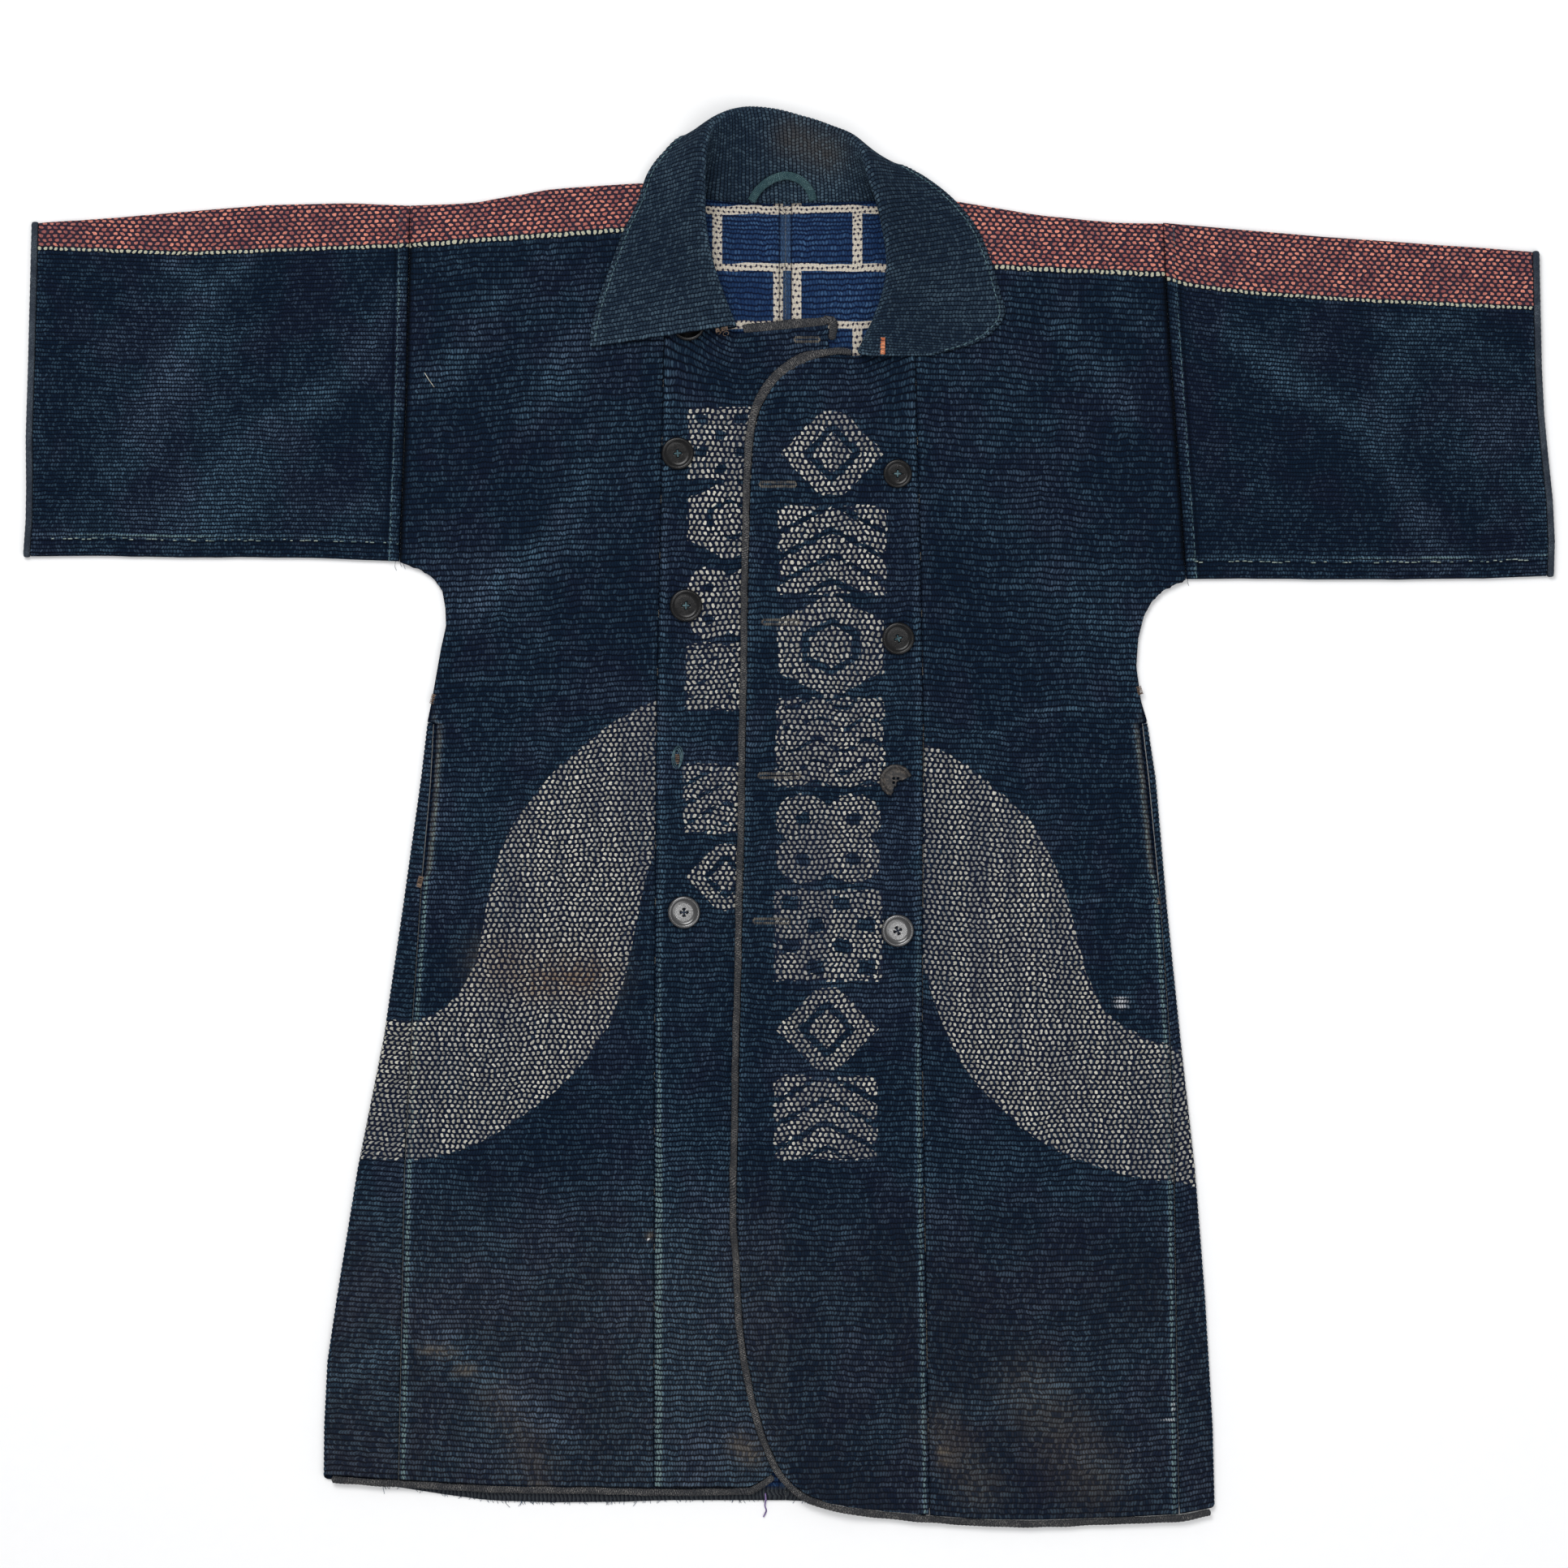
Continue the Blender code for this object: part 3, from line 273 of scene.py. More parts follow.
# Places where the dye is faded pale by wear
WEAR_LINES = listed(Stroke,
    (-485, 439, -459, 412, 7, 0.6), (-459, 412, -432, 439, 7, 0.6), (-459, 412, -476, 363, 8, 0.7),
    (-476, 363, -516, 293, 10, 0.75), (-516, 293, -530, 266, 10, 0.6), (-313, 412, -335, 363, 12, 0.45),
    (-335, 363, -375, 328, 12, 0.5), (-375, 328, -415, 306, 14, 0.5), (-460, 250, -420, 285, 26, 0.6),
    (-560, 236, -330, 240, 16, 0.35), (-234, 407, -269, 350, 12, 0.5), (-269, 350, -287, 337, 10, 0.45),
    (-163, 381, -190, 337, 12, 0.5), (-190, 337, -207, 311, 10, 0.45), (-163, 275, -181, 222, 12, 0.5),
    (-181, 222, -243, 178, 14, 0.55), (-243, 178, -256, 151, 10, 0.4), (464, 395, 482, 377, 6, 0.6),
    (482, 377, 500, 390, 6, 0.5), (482, 377, 468, 328, 8, 0.75), (468, 328, 468, 293, 8, 0.7),
    (468, 293, 495, 240, 10, 0.6), (495, 240, 517, 200, 10, 0.5), (340, 390, 393, 346, 10, 0.45),
    (393, 346, 455, 311, 14, 0.5), (455, 311, 473, 275, 12, 0.4), (217, 390, 252, 346, 12, 0.45),
    (252, 346, 270, 319, 10, 0.35), (260, 416, 287, 381, 10, 0.35), (-362, -449, -313, -414, 8, 0.5),
    (-278, -414, -172, -489, 9, 0.6), (-285, -395, -250, -420, 6, 0.5), (145, -467, 209, -449, 14, 0.4),
    (226, -502, 270, -520, 10, 0.4), (-560, 300, -480, 330, 60, 0.16), (520, 380, 590, 250, 40, 0.22),
    (-240, -22, -150, -10, 60, 0.12), (-230, -480, -200, -330, 40, 0.18), (200, -400, 290, -500, 60, 0.2),
    (180, 240, 260, 140, 50, 0.16), (-120, -300, -120, -520, 30, 0.16), (30, -300, 60, -480, 45, 0.18),
)
# Outlines of the pocket bags and a few folds that show as thin pale lines of wear
PRESS_LINES = listed(Stroke,
    (-269, 112, -181, 105, 2.2, 0.35), (-181, 105, -155, 85, 2.2, 0.3), (270, 91, 199, 85, 2.2, 0.45),
    (199, 85, 159, 67, 2.2, 0.5), (159, 67, 150, 36, 2.2, 0.5), (216, -64, 254, -64, 2.4, 0.5),
    (-243, -122, -146, -114, 2.2, 0.45), (-253, -186, -180, -176, 2, 0.25),
)
# Brown and yellow stains, and white spots
STAINS = listed(Stroke,
    (-226, -116, -160, -122, 22, 0.62), (-205, -134, -152, -126, 11, 0.45),
    (-277, -418, -272, -421, 6, 0.5), (-258, -433, -254, -436, 4, 0.6), (-39, -494, -30, -502, 9, 0.5),
    (-204, -528, -196, -529, 5, 0.45), (190, -450, 240, -520, 26, 0.22), (120, -480, 150, -530, 18, 0.22),
    (-230, -455, -200, -510, 14, 0.2), (-110, -330, -109, -329, 3, 0.6), (120, -499, 122, -497, 3, 0.7),
    (120, -508, 121, -509, 2.5, 0.6), (-290, -418, -284, -420, 3, 0.5), (305, -65, 308, -66, 3, 0.6),
)
CHALK = listed(Stroke,
    (303, -460, 303, -468, 2.6, 0.42), (298, -474, 303, -475, 2.4, 0.42), (306, -482, 308, -490, 2.2, 0.3),
    (259, -306, 260, -318, 1.8, 0.55), (262, -142, 263, -150, 2.2, 0.5), (264, -128, 264, -129, 1.6, 0.5),
    (-110, -331, -112, -332, 1.5, 0.6), (255, -300, 257, -302, 1.6, 0.4), (268, -497, 270, -500, 1.8, 0.3),
)


def read(edges, y):
    """X of a seam or edge at a height."""
    return np.interp(y, [edge.y for edge in edges], [edge.x for edge in edges])


def line_y(points, x):
    """Y of a hem, shoulder, neck or pattern line at an X."""
    return np.interp(x, [point.x for point in points], [point.y for point in points])


def mix(start, end, share):
    return start + (end - start) * share


def bell(distance, width):
    """A soft hump, 1 in its middle."""
    return np.exp(-((distance / width) ** 2))


def ease(share):
    share = np.clip(share, 0.0, 1.0)
    return share * share * (3 - 2 * share)


def cuff_bow(half, share):
    """How far out the cuff bows at a share of its height."""
    return half.outward * np.interp(share, *zip(*half.cuff_bow))


def by_pocket(y):
    """1 along the pocket's opening, 0 beyond it. The front stands back from the gore there."""
    return ease((y - SLIT_LOW) / SLIT_EASE) * ease((SLIT_HIGH - y) / SLIT_EASE)


def strokes(lines, x, y):
    """Strength at a place of soft strokes along lines."""
    total = np.zeros(np.shape(x))
    for line in lines:
        along_x = line.x1 - line.x0
        along_y = line.y1 - line.y0
        length = math.hypot(along_x, along_y)
        share = ((x - line.x0) * along_x + (y - line.y0) * along_y) / length**2
        beyond = np.maximum(np.maximum(-share, share - 1), 0) * length
        aside = ((x - line.x0) * along_y - (y - line.y0) * along_x) / length
        total = total + line.strength * np.exp(-(aside**2 + beyond**2) / line.width**2)
    return total


def sway(x, y, size):
    """A slow uneven rise and fall between -1 and 1, of about this size in millimetres."""
    total = np.zeros(np.broadcast(x, y).shape)
    for turn, stretch, start in ((0.3, 1.0, 0.4), (1.35, 1.31, 2.1), (2.2, 0.83, 4.0), (2.9, 1.73, 1.3)):
        way = x * math.cos(turn) + y * math.sin(turn)
        total = total + np.sin(way * stretch * 2 * math.pi / size + start)
    return total / 4


def front_height(x, y):
    return STACK + strokes(CREASES, x, y) + 0.45 * (1 + sway(x, y, 83.0))


def wander(x, y):
    """How far the ribs stray up or down, in millimetres."""
    return 2.5 * sway(x, y, 120.0) + 1.5 * sway(x + 31, y * 1.7, 47.0)


def lap(x):
    """How far the left band is raised over the right band."""
    return LAP * (1 - ease((x - LAP_EDGE) / (LAP_END - LAP_EDGE)))


def left_band_height(x, y):
    return front_height(x, y) + lap(x)


def rib_sink(rib):
    """Depth of the groove between ribs, from the rib's count."""
    place = rib - np.floor(rib)
    nearest = np.minimum(place, 1 - place)
    return RIB_DEPTH * np.clip(1 - nearest * 3, 0, 1)


def seam_roll(distance, ridge=0.5):
    """Height beside a seam: a narrow valley at the stitches, then the ridge of the allowance."""
    return ridge * bell(distance - 4.4, 3.0) - 1.1 * bell(distance, 1.5)


def weave_counts():
    """Heights and the rib counts up to them, from the weave's table."""
    heights = np.arange(-620.0, 620.0, 1.0)
    pitches = np.interp(heights, [step.y for step in WEAVE], [step.pitch for step in WEAVE])
    return heights, np.cumsum(1 / pitches)


HEIGHTS, RIBS = weave_counts()


def rib_at(y):
    return np.interp(y, HEIGHTS, RIBS)


def y_of_rib(rib):
    return np.interp(rib, RIBS, HEIGHTS)


def across(width, edge_steps, step):
    """Shares of a width, close together by both edges and even between them."""
    inner = np.arange(edge_steps[-1], width - edge_steps[-1], step)
    places = list(edge_steps) + list(inner[1:]) + [width - edge for edge in reversed(edge_steps)]
    return np.array(places) / width


OUTSIDE = -50.0  # well outside a woven pattern
EDGE_STEPS = [0.0, 1.2, 2.6, 4.4, 6.6, 9.5]
EDGE_FAR = 12.0  # beyond a seam's wear
BODY_LOW = -535.0
BODY_HIGH = 480.0
BODY_WIDE = 200.0  # width by which the panel's columns are spaced
BODY_STEP = 14.0
BAND_WIDE = 136.0
BAND_STEP = 3.4
SLEEVE_LONG = 290.0
SLEEVE_STEPS = [0.0, 1.2, 2.6, 4.2, 5.8, 7.4, 8.8, 10.2, 12.0, 15.0]


# The wear field holds wear above zero and painted shade below zero.
FIELDS = ("cream", "red", "worn", "soiled", "chalky", "edging")


class Cloth:
    """The outer face of a piece as rows of points, with what the weave needs to know at each."""

    def __init__(self, x, y, z, along, rib):
        self.x, self.y, self.z = x, y, z
        self.along, self.rib = along, rib
        for field in FIELDS:
            setattr(self, field, np.full(x.shape, OUTSIDE if field in ("cream", "red") else 0.0))

    def change(self, turned):
        """Turns over the rows of everything it holds."""
        for field in ("x", "y", "z", "along", "rib", *FIELDS):
            setattr(self, field, turned(getattr(self, field)))


def make_cloth(name, cloth, outer, inner, kept=None, closed=False, wall=WALL, middle=False):
    """A wall of cloth behind the outer face. kept says which cells it has."""
    rows, columns = cloth.x.shape
    mesh = bmesh.new()
    bmesh.ops.create_grid(mesh, x_segments=columns - 1, y_segments=rows - 1, size=0.5)
    mesh.verts.ensure_lookup_table()
    place = np.stack([cloth.x, cloth.y, cloth.z], axis=-1).reshape(-1, 3) + TO_MIDDLE
    place = (place * MM).tolist()
    layers = [mesh.verts.layers.float.new(field) for field in FIELDS]
    values = [getattr(cloth, field).ravel().tolist() for field in FIELDS]
    weave = mesh.loops.layers.uv.new("Weave")
    along = (cloth.along.ravel() * MM).tolist()
    rib = (cloth.rib.ravel() / 100).tolist()
    for face in mesh.faces:
        for loop in face.loops:
            number = loop.vert.index
            loop[weave].uv = (along[number], rib[number])
    cut = []
    if kept is not None:
        for face in mesh.faces:
            number = min(vertex.index for vertex in face.verts)
            if not kept(number % columns, number // columns):
                cut.append(face)
    for vertex in mesh.verts:
        number = vertex.index
        vertex.co = place[number]
        for layer, value in zip(layers, values):
            vertex[layer] = value[number]
    if cut:
        bmesh.ops.delete(mesh, geom=cut, context="FACES")
    if closed:
        bmesh.ops.remove_doubles(mesh, verts=mesh.verts, dist=0.02 * MM)
    for face in mesh.faces:
        face.smooth = True
    piece = finish_piece(name, mesh_data(name, mesh), outer, inner)
    shell = piece.modifiers.new("Wall", "SOLIDIFY")
    shell.thickness = wall * MM
    shell.offset = 0.0 if middle else -1.0
    shell.material_offset = 1
    return piece


def mesh_data(name, mesh):
    """The finished mesh, ready for an object."""
    data = bpy.data.meshes.new(name)
    mesh.to_mesh(data)
    mesh.free()
    return data


def placed(name, data):
    """A new object in the scene."""
    item = bpy.data.objects.new(name, data)
    bpy.context.scene.collection.objects.link(item)
    return item


def finish_piece(name, data, *materials):
    """The piece of a finished mesh or curve, riding on the jacket."""
    for material in materials:
        data.materials.append(material)
    piece = placed(name, data)
    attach(piece, "root")
    return piece


def wear_of(cloth, front):
    """Fills in the places faded by wear, and the soiled and chalky places."""
    x, y = cloth.x, cloth.y
    side = np.where(front, 1.0, 0.0)
    folds = np.minimum(strokes(WEAR_LINES, x, y), 0.56)
    cloth.worn += side * (folds + strokes(PRESS_LINES, x, y))
    low, high = ease((-240 - y) / 160), ease((y - 60) / 160)
    cloth.worn += side * (np.where(x > 0, -0.14, 0.04) * low - 0.07 * high)
    cloth.worn += (1 - side) * 0.4 * strokes(WEAR_LINES, -x, y - 20)
    cloth.soiled += side * (strokes(STAINS, x, y) + np.where(x > 0, 0.06, 0.1) * low)
    cloth.chalky += side * strokes(CHALK, x, y)


def waist_pattern(x, y):
    """Distance into the cream waist band, in millimetres, negative outside."""
    upper, lower = (
        np.where(x < 0, line_y(right, x), line_y(left, x))
        for right, left in ((WAIST_UPPER_RIGHT, WAIST_UPPER_LEFT), (WAIST_LOWER_RIGHT, WAIST_LOWER_LEFT))
    )
    return np.minimum(upper - y, y - lower)


def turning(start, top, length, sink):
    """(y, z, front) at a length along the cloth that goes up the front, over a fold and down the back."""
    rise = top - start
    bend = math.pi * FOLD
    turn = np.clip((length - rise) / FOLD, 0, math.pi)
    on_front = length < rise
    on_back = length > rise + bend
    y = np.where(on_front, start + length, top + (FOLD - sink) * np.sin(turn))
    y = np.where(on_back, top - (length - rise - bend), y)
    z = np.where(on_back, sink, FOLD + (FOLD - sink) * np.cos(turn))
    return y, z, on_front


def shifted(edges, distance):
    """The edge moved sideways."""
    return [Edge(edge.y, edge.x + distance) for edge in edges]


def body_cloth(name, half):
    """Front and back in one length of cloth over the shoulder."""
    inward = -half.outward
    side = shifted(half.gore_seam, inward * SEAM) + half.waist + shifted(half.armhole, inward * SEAM)
    seam = shifted(half.band_seam, half.outward * SEAM / 2)
    centre = CENTRE_BACK + half.outward * SEAM / 2
    shoulder, front_hem, back_hem = half.shoulder, half.front_hem, half.back_hem
    stripe, stripe_ribs = half.stripe, half.stripe_ribs
    front_shares = across(BODY_WIDE, EDGE_STEPS, BODY_STEP)
    back_shares = np.linspace(0, 1, 8)[1:]
    first = math.floor(rib_at(BODY_LOW))
    last = math.ceil(rib_at(float(line_y(stripe, side[-1].x))))
    front_ribs = last - first
    counts = np.arange(0, front_ribs, 1 / RIB_STEPS)
    even = (y_of_rib(first + counts) - y_of_rib(first)) / (y_of_rib(last) - y_of_rib(first))
    stripe_counts = np.arange(0, stripe_ribs, 1 / RIB_STEPS)
    back_counts = np.arange(0, front_ribs + 1 / RIB_STEPS, 1 / RIB_STEPS)
    back_even = 1 - np.interp(front_ribs - back_counts, np.append(counts, front_ribs), np.append(even, 1.0))
    rows = []

    def side_x(y, front):
        return read(side, y) + (inward * SLIT * by_pocket(y) if front else 0.0)

    def column_x(share, y, front):
        return mix(side_x(y, front), read(seam, y), share)

    hem = line_y(front_hem, mix(side[0].x, seam[0].x, front_shares))
    top_x = mix(read(side, BODY_HIGH), read(seam, BODY_HIGH), front_shares)
    start = line_y(stripe, top_x)
    top = line_y(shoulder, top_x) - FOLD
    slack = np.sin(np.pi * front_shares)
    for count, share in zip(counts, even):
        y = mix(hem, start, share)
        y = y + slack * wander(top_x, y) * ease(share * 20) * ease((1 - share) * 60)
        x = column_x(front_shares, y, True)
        edge = np.minimum(np.abs(x - side_x(y, True)), np.abs(read(seam, y) - x))
        at_side = np.abs(x - side_x(y, True)) < EDGE_FAR
        z = front_height(x, y) + seam_roll(edge, np.where(at_side & (y < 96), 1.5, 0.6)) - rib_sink(count)
        rows.append((x, y, z, edge, True, count))
    for count in stripe_counts:
        length = np.full(len(front_shares), count * STRIPE_PITCH)
        sink = rib_sink(count)
        y, z, on_front = turning(start, top, length, sink)
        fade = ease((top - y) / 16)
        x = column_x(front_shares, y, False)
        edge = np.minimum(np.abs(x - side_x(y, False)), np.abs(read(seam, y) - x))
        raised = STACK + (front_height(x, y) - STACK + seam_roll(edge, 0.8)) * fade - sink
        rows.append((x, y, np.where(on_front, raised, z), edge, False, front_ribs + count))
    turned = rows[-1][1]
    back_low = line_y(back_hem, mix(side[0].x, seam[0].x, front_shares))
    for count, share in zip(back_counts, back_even):
        y = mix(turned - STRIPE_PITCH / RIB_STEPS, back_low, share)
        x = column_x(front_shares, y, False)
        edge = np.minimum(np.abs(x - side_x(y, False)), EDGE_FAR)
        z = np.full(len(x), rib_sink(count))
        rows.append((x, y, z, edge, False, front_ribs + stripe_ribs + count))
    neck_x = mix(float(read(seam, BODY_HIGH)), centre, back_shares)
    neck_y = line_y(BACK_NECK, neck_x)
    neck_low = line_y(back_hem, neck_x)
    turned_row = len(counts) + next(
        number for number, count in enumerate(stripe_counts)
        if count * STRIPE_PITCH > float(top[-1] - start[-1]) + math.pi * FOLD
    )
    stripe_end = len(counts) + len(stripe_counts)
    full = []
    for number, (x, y, z, edge, _, rib) in enumerate(rows):
        if number < turned_row:
            inner_x, inner_y = neck_x, neck_y
            inner_z = np.zeros(len(neck_x))
        else:
            if number < stripe_end:
                inner_y = neck_y - (number - turned_row) * STRIPE_PITCH / RIB_STEPS
            else:
                base = neck_y - (stripe_end - turned_row) * STRIPE_PITCH / RIB_STEPS
                inner_y = mix(base, neck_low, back_even[number - stripe_end])
            inner_x = mix(read(seam, y[-1]), centre, back_shares)
            inner_z = np.full(len(neck_x), rib_sink(rib))
        inner = (inner_x, inner_y, inner_z, np.abs(inner_x - centre))
        full.append([np.append(*pair) for pair in zip((x, y, z, edge), inner)])
    x, y, z, edge = (np.array([row[k] for row in full]) for k in range(4))
    rib = np.array([row[5] for row in rows])[:, None] + np.zeros(x.shape)
    cloth = Cloth(x, y, z, np.abs(x - centre) + 3.1, rib)
    front = np.array([row[4] for row in rows])[:, None] & np.ones(x.shape, bool)
    from_side = np.abs(x - x[:, :1])
    by_gore = ease((90 - y) / 30)
    at_pocket = by_pocket(y)
    by_sleeve = ease((y - 190) / 20)
    cloth.worn = 0.2 * bell(edge - 3.0, 2.6)
    cloth.worn += (1.15 - 0.3 * at_pocket) * by_gore * bell(from_side - 3.6, 2.3)
    cloth.soiled += 0.5 * at_pocket * by_gore * bell(from_side - 2.6, 2.0)
    # Painted shade on the body beside the armhole seam, under the sleeve's raised edge.
    cloth.worn -= 1.3 * by_sleeve * bell(from_side, 3.4)
    wear_of(cloth, front)
    cloth.cream = np.where(edge > 0.8, waist_pattern(x, y), -2.0)
    cloth.red = np.minimum(rib - front_ribs, front_ribs + stripe_ribs - rib)
    cloth.edging = np.where(front, 0.0, np.clip((rib - rib[-1:] + 2.6) * 2, 0, 1))
    cloth.worn += 0.5 * bell(np.abs(x - centre) - 4.5, 3.0) * (1 - front)
    columns = x.shape[1]
    if inward < 0:
        cloth.change(np.fliplr)
    front_columns = len(front_shares) - 1

    def kept(column, row):
        from_side = column if inward > 0 else columns - 2 - column
        return row >= turned_row or from_side < front_columns

    return make_cloth(name, cloth, indigo, lining, kept=kept)


def gore_cloth(name, half):
    """A narrow wedge of cloth folded round the side edge."""
    outward, seam, fold = half.outward, half.gore_seam, half.side_fold
    front_hem, back_hem = half.front_hem, half.back_hem
    low_y, top_y = fold[0].y, fold[-1].y
    first, last = rib_at(low_y), rib_at(top_y)
    counts = np.arange(0, last - first, 1 / RIB_STEPS)
    flat = np.array([0.0, 0.06, 0.16, 0.4, 0.7, 1.0])
    turns = np.linspace(0, 1, 8)[1:-1]
    rows = []
    for count in np.append(counts, last - first):
        share = (y_of_rib(first + count) - low_y) / (top_y - low_y)
        sink = rib_sink(count)
        x_fold_low = float(read(fold, low_y))
        front_y = mix(float(line_y(front_hem, x_fold_low)), top_y, share)
        back_y = mix(float(line_y(back_hem, x_fold_low)), top_y, share)
        row = []
        for part, places in (("back", flat), ("fold", turns), ("front", flat[::-1])):
            for place in places:
                if part == "fold":
                    y = mix(back_y, front_y, place)
                    middle = float(read(fold, y)) - outward * FOLD
                    x = middle + outward * (FOLD - sink) * math.sin(math.pi * place)
                    z = FOLD - (FOLD - sink) * math.cos(math.pi * place)
                    edge = EDGE_FAR
                else:
                    y = front_y if part == "front" else back_y
                    hem = front_hem if part == "front" else back_hem
                    y_seam = mix(float(line_y(hem, seam[0].x)), top_y, share)
                    y = mix(y_seam, y, place)
                    middle = float(read(fold, y)) - outward * FOLD
                    start = float(read(seam, y)) + outward * SEAM
                    x = mix(start, middle, place)
                    edge = abs(x - start)
                    if part == "front":
                        rolled = float(seam_roll(edge)) * 0.6 * min(1, abs(middle - start) / EDGE_FAR)
                        z = STACK + 0.25 + rolled - sink
                    else:
                        z = sink
                row.append((x, y, z, edge, 1.0 if part == "front" else 0.0))
        rows.append(row)
    table = np.array(rows)
    if outward > 0:
        table = table[:, ::-1]
    x, y, z, edge, front = (table[:, :, k] for k in range(5))
    rib = np.append(counts, last - first)[:, None] + np.zeros(x.shape)
    steps = [np.diff(side, axis=1, prepend=side[:, :1]) for side in (x, z)]
    along = np.cumsum(np.hypot(*steps), axis=1)
    cloth = Cloth(x, y, z, along, rib)
    cloth.worn = 0.1 + 0.25 * bell(edge, 2.0)
    wear_of(cloth, front > 0.5)
    cloth.cream = np.where(edge > 0.8, waist_pattern(x, y), -2.0)
    return make_cloth(name, cloth, indigo, lining)


def sleeve_cloth(name, half):
    """A sleeve of one width of cloth, folded at the top and seamed below, open at both ends."""
    outward, stripe_ribs = half.outward, half.stripe_ribs
    top_line, low_line = sorted(half.sleeve_top), sorted(half.sleeve_low)
    body_end = 0 if outward > 0 else -1
    cuff_end = -1 - body_end
    shares = across(SLEEVE_LONG, SLEEVE_STEPS, BODY_STEP)
    x_top = mix(top_line[body_end].x, top_line[cuff_end].x, shares)
    x_low = mix(low_line[body_end].x, low_line[cuff_end].x, shares)
    y_low = line_y(low_line, x_low) + 0.5 * sway(x_low, 0.0, 60.0) * np.sin(np.pi * shares)
    top = line_y(top_line, x_top) - FOLD
    low = y_low + FOLD
    x_middle = (x_top + x_low) / 2
    start = line_y(half.stripe, x_middle)
    front_ribs = round(float(np.mean(start - low)) / SLEEVE_PITCH)
    length = stripe_ribs * STRIPE_PITCH
    after = top - (length - (top - start) - math.pi * FOLD)
    back_ribs = round(float(np.mean(after - low)) / SLEEVE_PITCH)
    step = 1 / RIB_STEPS
    rings = []
    for count in np.arange(0, front_ribs, step):
        share = count / front_ribs
        y = mix(low, start, share)
        y = y + 0.8 * wander(x_middle, y) * math.sin(math.pi * share) * np.sin(np.pi * shares)
        rings.append((y, None, True, count))
    for count in np.arange(0, stripe_ribs, step):
        y, z, on_front = turning(start, top, np.full(len(shares), count * STRIPE_PITCH), rib_sink(count))
        rings.append((y, np.where(on_front, np.nan, z), on_front, front_ribs + count))
    for count in np.arange(0, back_ribs, step):
        y = mix(after, low, count / back_ribs)
        rings.append((y, np.full(len(shares), rib_sink(count)), False, front_ribs + stripe_ribs + count))
    for turn in np.arange(0, 1, 1 / 9):
        sink = rib_sink(turn * 3)
        y = low - (FOLD - sink) * math.sin(math.pi * turn)
        z = np.full(len(shares), FOLD - (FOLD - sink) * math.cos(math.pi * turn))
        rings.append((y, z, False, front_ribs + stripe_ribs + back_ribs + turn * 3))
    last_rib = front_ribs + stripe_ribs + back_ribs + 3
    y = np.array([ring[0] for ring in rings] + [rings[0][0]]).T
    rib = np.array([ring[3] for ring in rings] + [last_rib])[None, :] + np.zeros(y.shape)
    up = np.clip((y - low[:, None]) / (top - low)[:, None], 0, 1)
    x = mix(x_low[:, None], x_top[:, None], up) + cuff_bow(half, up) * shares[:, None]
    edge = shares[:, None] * SLEEVE_LONG + np.zeros(y.shape)
    closeness = (1 - ease(shares * SLEEVE_LONG / 60))[:, None]
    x = mix(x, read(half.armhole, y) + outward * (0.1 + edge), closeness)
    front = np.array([np.broadcast_to(ring[2], len(shares)) for ring in rings + rings[:1]]).T
    flat_z = front_height(x, y)
    near_top = ease((top[:, None] - y) / 16) * ease((y - low[:, None]) / 10)
    above_low = y - low[:, None]
    bottom_stitch = bell(above_low - 13.5, 2.6) - 0.8 * bell(above_low - 9.4, 1.8)
    armhole_ridge = seam_roll(edge, 2.2) - 1.2 * bell(edge - 9.6, 1.5)
    raised = STACK + (flat_z - STACK + armhole_ridge + bottom_stitch) * near_top - rib_sink(rib)
    z = raised.copy()
    for number, (_, ring_z, _, _) in enumerate(rings):
        if ring_z is not None:
            z[:, number] = np.where(np.isnan(ring_z), raised[:, number], ring_z)
    cloth = Cloth(x, y, z, np.abs(x), rib)
    cuff = SLEEVE_LONG - edge
    # A pale line of wear 7.2 mm from the armhole seam; the paler band over the seam's ridge is a painted
    # highlight.
    cloth.worn = 0.9 * bell(edge - 7.2, 1.8) + 0.3 * bell(edge, 4.5)
    # Painted shade in the stitch groove 10 mm from the armhole seam and along the seam itself.
    cloth.worn -= 0.7 * bell(edge - 10.0, 1.5) + 0.8 * bell(edge, 1.2)
    cloth.worn += 0.3 * bell(cuff, 5) - 0.04
    along_seam = 0.9 + 0.5 * sway(x, 0.0, 70.0)
    cloth.worn += along_seam * bell(above_low - 13.2, 2.0) * front
    # Painted shade along the valley of the bottom seam, 9.6 mm above the bottom fold.
    cloth.worn -= 0.3 * bell(above_low - 9.6, 1.8) * front
    cloth.worn += (0.12 + 0.25 * sway(x, 3 * y, 36.0)) * ease((8 - above_low) / 3) * front
    wear_of(cloth, front)
    cloth.red = np.minimum(rib - front_ribs, front_ribs + stripe_ribs - rib)
    if outward > 0:
        cloth.change(np.flipud)
    return make_cloth(name, cloth, indigo, lining, closed=True)


def lozenge(x, y, size):
    return size - np.abs(x) * 1.15 - np.abs(y)


def motif_lozenges(x, y):
    """A lozenge within a lozenge, with cut corners."""
    outer = np.minimum(lozenge(x, y, 40.0), 31 - np.abs(y))
    ring = np.minimum(outer, -lozenge(x, y, 26.0))
    return np.maximum(ring, lozenge(x, y, 15.0))


def motif_chevrons(x, y):
    """Chevrons, one over another."""
    slope = y + np.abs(x) * 0.6
    wave = np.abs((slope + 4) % 20.0 - 10.0)
    return np.minimum(np.minimum(5.8 - wave, 36 - np.abs(x)), 33 - np.abs(y))


def motif_hexagon(x, y):
    """A tortoiseshell hexagon with a filled middle."""
    across_flats = np.maximum(np.abs(x), np.abs(x) * 0.5 + np.abs(y) * 0.9)
    ring = np.minimum(35 - across_flats, across_flats - 22.0)
    return np.maximum(ring, 13.0 - across_flats)


